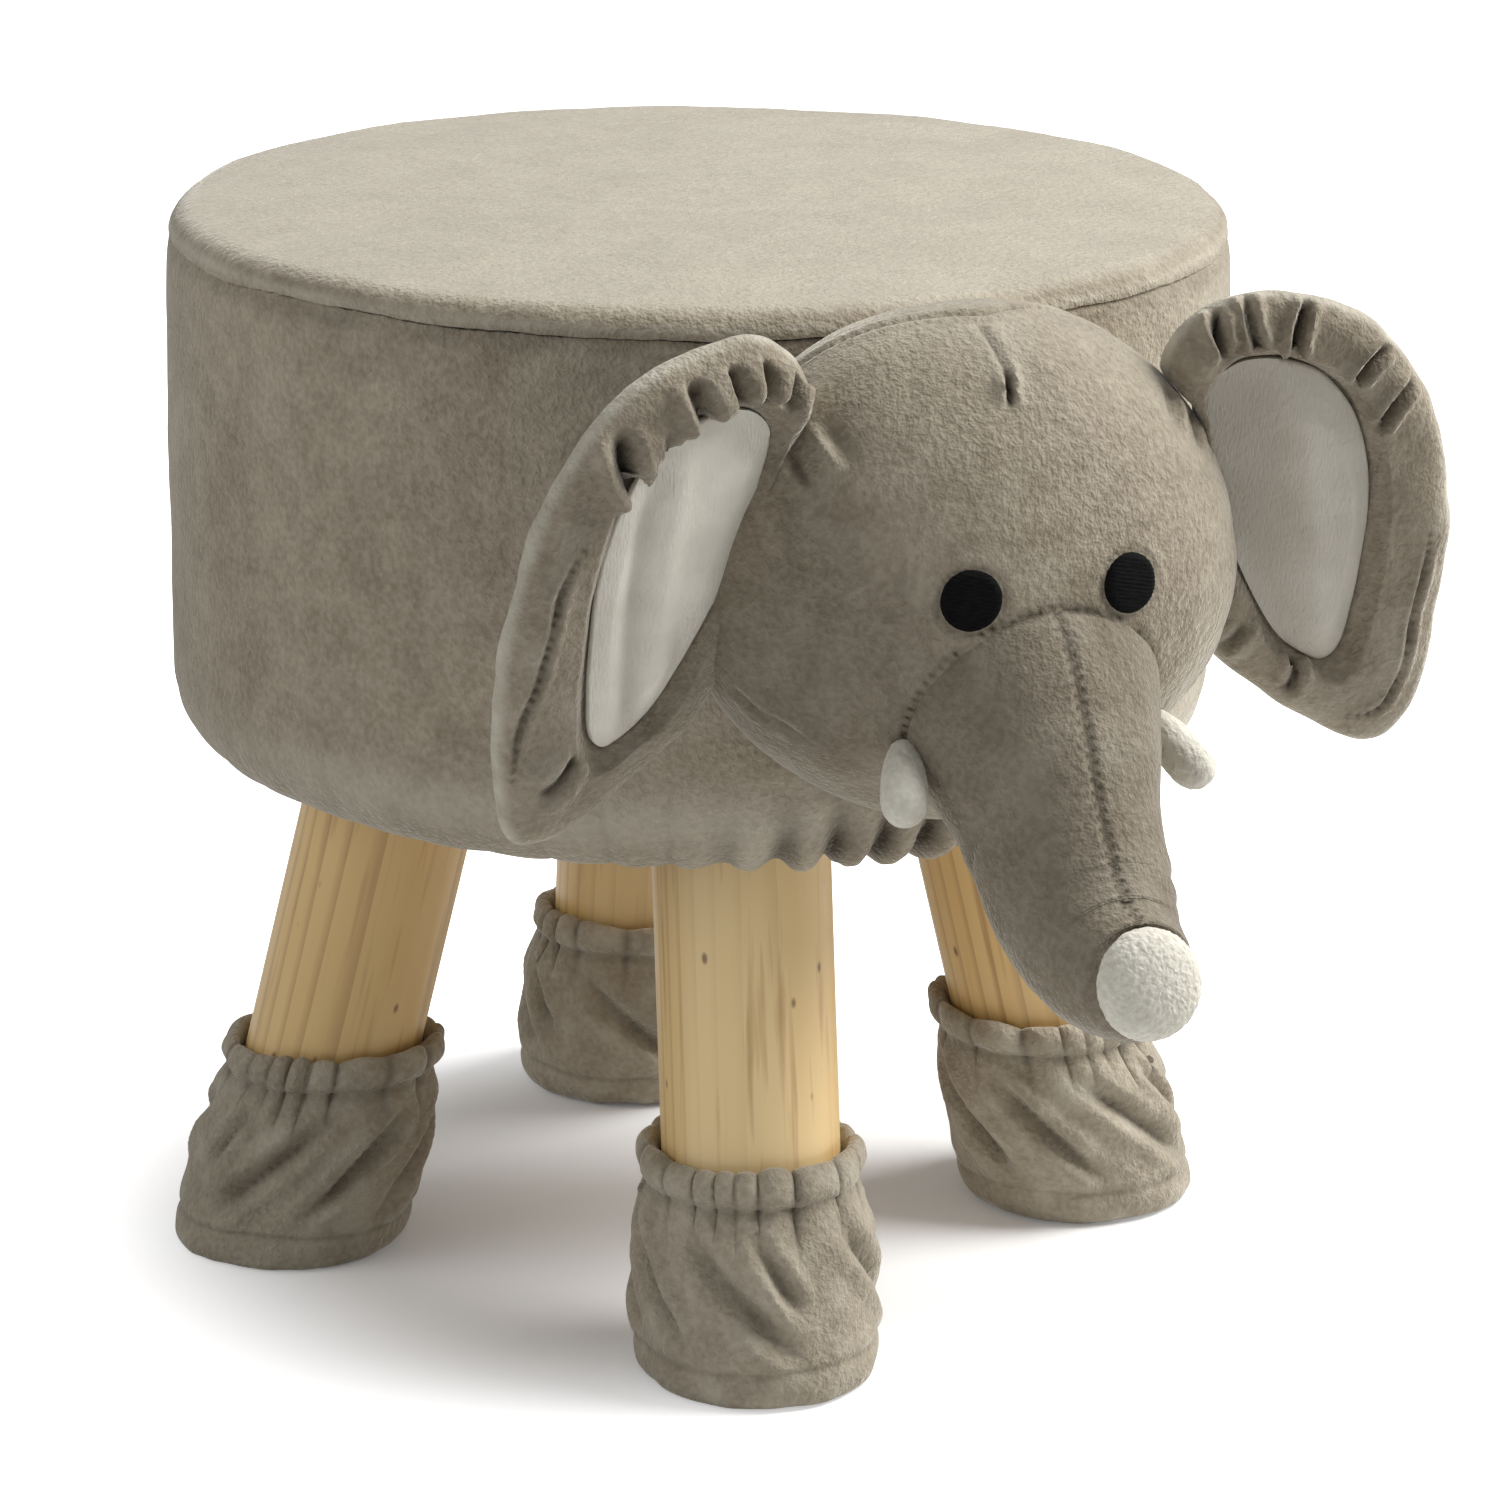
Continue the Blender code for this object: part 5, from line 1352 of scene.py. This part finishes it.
# %% Eyes
EYE_ROWS, EYE_BACK_ROWS = 34, 8
HEAD_TREE = BVHTree.FromPolygons([vert.co for vert in plush_head.data.vertices],
                                 [face.vertices for face in plush_head.data.polygons])


def onto_face(spots):
    """Move points straight back onto the finished face, so that an eye follows its real shape."""
    moved = spots.copy()
    for index, spot in enumerate(spots):
        hit = HEAD_TREE.ray_cast(Vector((spot[0], spot[1] - 60 * MM, spot[2])), Vector((0, 1, 0)))[0]
        if hit is not None:
            moved[index, 1] = hit.y
    return moved


for side, name in ((1, "left"), (-1, "right")):
    eye, turns, row = sleeve("stitched_eye_" + name, EYE_ROWS, 150)
    front = EYE_ROWS - EYE_BACK_ROWS
    out = np.where(row < front, row / front, (EYE_ROWS - 1 - row) / (EYE_ROWS - 1 - front))
    out = np.clip(out, 0.01, 1)
    across, up = wheel(EYE_RADIUS * out, turns)
    sideways, upwards = (side * EYE_SPREAD + across) / HEAD_SIZE.x, (EYE_RISE + up) / HEAD_SIZE.z
    forwards = np.sqrt(np.clip(1 - sideways ** 2 - upwards ** 2, 0.01, 1))
    skin = onto_face(head_skin(np.stack([sideways, -forwards, upwards], axis=1)))
    rise = np.where(row < front, EYE_THICK * (1 - out ** 6) + 0.25 * MM, -0.6 * MM)
    thread = 0.09 * MM * np.sin(2 * math.pi * (up + 0.25 * across) / (0.95 * MM))
    rise += thread * (row < front) * (out < 0.97)
    put(eye, skin + unit(skin - np.array(HEAD)) * rise[:, None])
    close_ends(eye, row)
    smooth(eye, 180)
    dress(eye, EYE_THREAD, "stool", "eye_" + name)

# %% [markdown]
# ## The ears
# An ear is a flat plush pad with a thick rolled border round a sunk field, which the satin lining
# covers. The rings of a sleeve run from the middle of the front over the border to the middle of the
# back. The border is gathered as it's turned over the top, so pleats with painted shade in them cross it
# there, a line of stitches runs near its outer edge lower down, and its upper end is rolled up where it's
# sewn on. Each pleat is a turn and a share for both of its ends, and a depth and a width in millimetres.

# %% Ear outlines
EAR_WIDTH, EAR_HEIGHT = 78.5 * MM, 126 * MM
EAR_CENTRE = (0.391, -0.240)
EAR_OUTLINE = ((0.462, -0.111), (0.443, 0.071), (0.376, 0.238), (0.268, 0.369), (0.102, 0.464),
               (-0.115, 0.512), (-0.293, 0.528), (-0.433, 0.492), (-0.510, 0.444), (-0.535, 0.365),
               (-0.446, 0.317), (-0.401, 0.198), (-0.360, 0.060), (-0.345, -0.085), (-0.335, -0.215),
               (-0.225, -0.300), (0.076, -0.425), (0.242, -0.472), (0.367, -0.437), (0.443, -0.278))
LINING_OUTLINE = ((0.160, -0.063), (0.166, 0.062), (0.140, 0.175), (0.076, 0.278), (-0.038, 0.357),
                  (-0.150, 0.385), (-0.250, 0.392), (-0.325, 0.380), (-0.385, 0.345), (-0.395, 0.300),
                  (-0.380, 0.235), (-0.350, 0.140), (-0.310, 0.045), (-0.255, -0.030), (-0.166, -0.135),
                  (-0.080, -0.215), (0.020, -0.262), (0.080, -0.270), (0.125, -0.235), (0.148, -0.150))
EAR_YAW, EAR_LEAN = math.radians(12), math.radians(12.5)
EAR_ROOT = (10 * MM, 30 * MM)


def closed_outline(shares, turns):
    """Points of a closed outline, read smoothly at shares of a full turn."""
    shares = np.array(shares)
    spot = (turns % 1) * len(shares)
    index = np.floor(spot).astype(int)
    around = [shares[(index + step) % len(shares)] for step in (-1, 0, 1, 2)]
    return between(*around, (spot - index)[:, None])


def ear_plane(share, turns):
    """Places in the ear's own plane: 0 is the middle of the lining, 0.5 its edge, 1 the ear's edge."""
    lining, edge = closed_outline(LINING_OUTLINE, turns), closed_outline(EAR_OUTLINE, turns)
    flat = lining * ramp(share, 0, 0.5)[:, None] + (edge - lining) * ramp(share, 0.5, 1)[:, None]
    return (flat + np.array(EAR_CENTRE)) * np.array([EAR_WIDTH, EAR_HEIGHT])


def ear_axes(side):
    """The ear's root on the head, and its own axes: outwards, upwards and forwards."""
    forward, rise = EAR_ROOT
    out = HEAD_SIZE.x * math.sqrt(1 - (rise / HEAD_SIZE.z) ** 2 - (forward / HEAD_SIZE.y) ** 2)
    outwards = Vector((math.cos(EAR_YAW), -math.sin(EAR_YAW), 0))
    upwards = Vector((0, -math.sin(EAR_LEAN), math.cos(EAR_LEAN)))
    upwards = (upwards - outwards * upwards.dot(outwards)).normalized()
    facing = outwards.cross(upwards)
    flip = np.array([side, 1, 1])
    root = np.array(HEAD) + flip * np.array([out, -forward, rise])
    return root, flip * np.array(outwards), flip * np.array(upwards), flip * np.array(facing)


# %% Ear surface
EAR_FIELD, EAR_ROLL, EAR_BACK = 2.6 * MM, 7.4 * MM, 5.0 * MM
EAR_KNOB, KNOB_RISE, KNOB_WIDTH = (-0.470, 0.405), 4.5 * MM, 6.5 * MM
PLEATS = {1: ((0.335, 0.99, 0.352, 0.66, 4.0, 1.25), (0.302, 1.0, 0.297, 0.58, 4.2, 1.2),
              (0.245, 1.0, 0.247, 0.56, 4.2, 1.15), (0.173, 0.97, 0.170, 0.58, 3.6, 1.15),
              (0.138, 0.98, 0.120, 0.56, 3.0, 1.2), (0.775, 0.92, 0.775, 0.52, 2.0, 1.4),
              (0.705, 0.64, 0.720, 0.96, 2.0, 1.5)),
          -1: ((0.234, 0.92, 0.242, 0.48, 4.6, 2.0), (0.272, 0.90, 0.292, 0.58, 3.0, 1.6),
               (0.172, 0.93, 0.142, 0.46, 4.8, 2.2), (0.196, 0.70, 0.188, 0.48, 2.2, 1.5),
               (0.318, 0.90, 0.330, 0.60, 3.4, 1.6), (0.372, 0.92, 0.366, 0.62, 3.6, 1.7),
               (0.912, 0.60, 0.915, 0.86, 1.6, 2.0))}
WELTS = {1: ((0.030, 0.86), (-0.012, 0.85), (-0.080, 0.84), (-0.152, 0.83)),
         -1: ((0.085, 0.73), (0.050, 0.79), (0.003, 0.84), (-0.035, 0.90), (-0.066, 0.95))}
EAR_POINTS, FRONT_ROWS, BACK_ROWS, FIELD_ROWS = 340, 74, 26, 14
FIELD_END, LINING_EDGE = 0.47, 0.505


def ear_front(share, turns, side):
    """Height of the ear's front: the sunk field, then the padded roll, thicker at its rolled-up end."""
    across = ramp(share, 0.5, 1)
    roll = EAR_ROLL * np.sqrt(np.clip(1 - across ** 2, 0, 1)) * np.minimum(1, 0.25 + 3.2 * across)
    height = np.where(share < 0.5, EAR_FIELD, np.maximum(roll, 0))
    knob = (np.array(EAR_KNOB) + np.array(EAR_CENTRE)) * np.array([EAR_WIDTH, EAR_HEIGHT])
    away = np.linalg.norm(ear_plane(share, turns) - knob, axis=1)
    return height + KNOB_RISE * bell(away, KNOB_WIDTH) * np.sqrt(np.clip(1 - across ** 4, 0, 1))


def ear_point(share, turns, height, side):
    """Places in space of points at a share, a turn and a height of an ear."""
    root, outwards, upwards, facing = ear_axes(side)
    flat = ear_plane(share, turns)
    return root + flat[:, :1] * outwards + flat[:, 1:] * upwards + height[:, None] * facing


def on_ear(shares, turns, side):
    """Points on the front of an ear."""
    return ear_point(shares, turns, ear_front(shares, turns, side), side)


def make_ear(side, name):
    """A plush pad with pleats, a stitched welt and a groove where the lining is set in."""
    ear, turns, row = sleeve("plush_ear_" + name, FRONT_ROWS + BACK_ROWS, EAR_POINTS)
    inner = np.linspace(0.02, FIELD_END, FIELD_ROWS)
    over = np.linspace(0, 1, FRONT_ROWS - FIELD_ROWS + 1)[1:]
    outer = FIELD_END + (1 - FIELD_END) * np.sin(over * math.pi / 2) ** 1.1
    rear = 1 - 0.98 * (1 - np.cos(np.linspace(0, 1, BACK_ROWS + 1)[1:] * math.pi / 2))
    shares = np.concatenate([inner, outer, rear])[row]
    on_front = row < FRONT_ROWS
    back = -EAR_BACK * np.clip(1 - shares ** 2, 0, 1) ** 0.35
    put(ear, ear_point(shares, turns, np.where(on_front, ear_front(shares, turns, side), back), side))
    swell(ear, 22 * MM, 1.3 * MM, 3 + side)
    swell(ear, 9 * MM, 0.6 * MM, 1 + side)
    # Painted shade: the ear is darkened a little all over and its border more. Painted sheen: a light rim
    # along the outer edge. Random patches of pile are lighter.
    border = ramp(shares, 0.50, 0.56) * ramp(shares, 0.93, 0.83) * on_front
    rim = bell(shares - 1.0, 0.030) * (0.6 + 0.4 * lumps(places(ear), 5 * MM, 2.0))
    note(ear, "crease_and_painted_shade", 0.10 + 0.14 * border)
    note(ear, "nap_and_painted_light", 0.26 * patches(places(ear), 12 * MM, side, 1.6, 0.1) + 1.0 * rim)
    close_ends(ear, row)
    # Pleats, the welt, its stitches and the lining's groove get painted shade along their bottoms.
    for turn_at, start, turn_to, end, depth, width in PLEATS[side]:
        pleat_turns = np.linspace(turn_at, turn_to, 10) + 0.006 * np.sin(np.linspace(0, 3, 10)) * side
        line = on_ear(np.linspace(start, end, 10), pleat_turns, side)
        crease_and_painted_shade(ear, line, depth * MM, width * MM, fade=0.25, ridge=0.6, shade=0.85)
    welt = curve_through(WELTS[side], 24)
    line = on_ear(welt[:, 1] + 0.010 * np.sin(np.linspace(0, 11, len(welt))), welt[:, 0], side)
    crease_and_painted_shade(ear, line, 1.3 * MM, 0.9 * MM, fade=0.2, ridge=0.5, shade=0.45)
    stitched(ear, line, 2.8 * MM, 1.0 * MM, 0.5)
    edge = on_ear(np.full(200, LINING_EDGE), np.linspace(0, 1, 200), side)
    crease_and_painted_shade(ear, edge, 0.5 * MM, 0.9 * MM, fade=0, ridge=0.2, shade=0.35)
    swell(ear, 5 * MM, 0.12 * MM, 5 + side)
    return smooth(ear, 80)


def make_lining(side, name):
    """A thin satin panel on the ear's field. The left one has a single fold, the right one soft ones."""
    rows, back_rows = 40, 6
    lining, turns, row = sleeve("satin_lining_" + name, rows, 220)
    front = rows - back_rows
    share = np.where(row < front, row / (front - 1), (rows - 1 - row) / (rows - 1 - front))
    share = np.clip(share, 0.02, 1) * LINING_EDGE
    flat = ear_plane(share, turns)
    across, up = flat[:, 0] / MM, flat[:, 1] / MM
    if side > 0:
        past_fold = across - 23.76 + 0.16 * (up + 30)
        valley = 1 / (1 + np.exp(past_fold / 2.2))
        fold = 0.9 - 1.9 * valley + 0.8 * bell(past_fold - 6, 4.0)
        shade, fold_shade = 0.44, 0.24
    else:
        sway = across + 5 * np.sin(up / 30 + side)
        valley = bell(sway - 29, 3.0)
        fold = 1.9 * bell(sway - 21, 4.5) - 1.6 * valley
        shade, fold_shade = 0.0, 0.36
    fold += 0.35 * lumps(np.column_stack([flat, 0 * flat[:, 0]]), 11 * MM, side)
    fade = ramp(share, LINING_EDGE, LINING_EDGE - 0.16)
    height = EAR_FIELD + np.where(row < front, 0.9 * MM + (1.6 + fold) * MM * fade, -0.3 * MM)
    put(lining, ear_point(share, turns, height, side))
    # Painted shade in the valleys of the folds, and all over the left lining, which lies in shade.
    note(lining, "crease_and_painted_shade", shade + fold_shade * valley * (0.4 + 0.6 * fade))
    close_ends(lining, row)
    return smooth(lining, 80)


# %% Ears
for side, name in ((1, "left"), (-1, "right")):
    ear, lining = make_ear(side, name), make_lining(side, name)
    dress(ear, GREY_PLUSH, "ear_" + name, "ear_" + name)
    dress(lining, SATIN, "ear_" + name, "ear_lining_" + name)

# %% [markdown]
# ## Board, bolts and elastics
# The board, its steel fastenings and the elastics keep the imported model's own meshes, whose shapes are
# right already, and get finishes of their own.

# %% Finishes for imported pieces
KEPT = {"base_board": BOARD, "hem_elastic": ELASTIC}
for name in FEET:
    KEPT["hanger_bolt_" + name] = STEEL
    KEPT["tee_nut_" + name] = STEEL
    KEPT["bootie_elastic_" + name] = ELASTIC
for name, finish in KEPT.items():
    node = frame["nodes"][name]
    node.data.materials.clear()
    node.data.materials.append(finish)
print("kept nodes", len(KEPT))
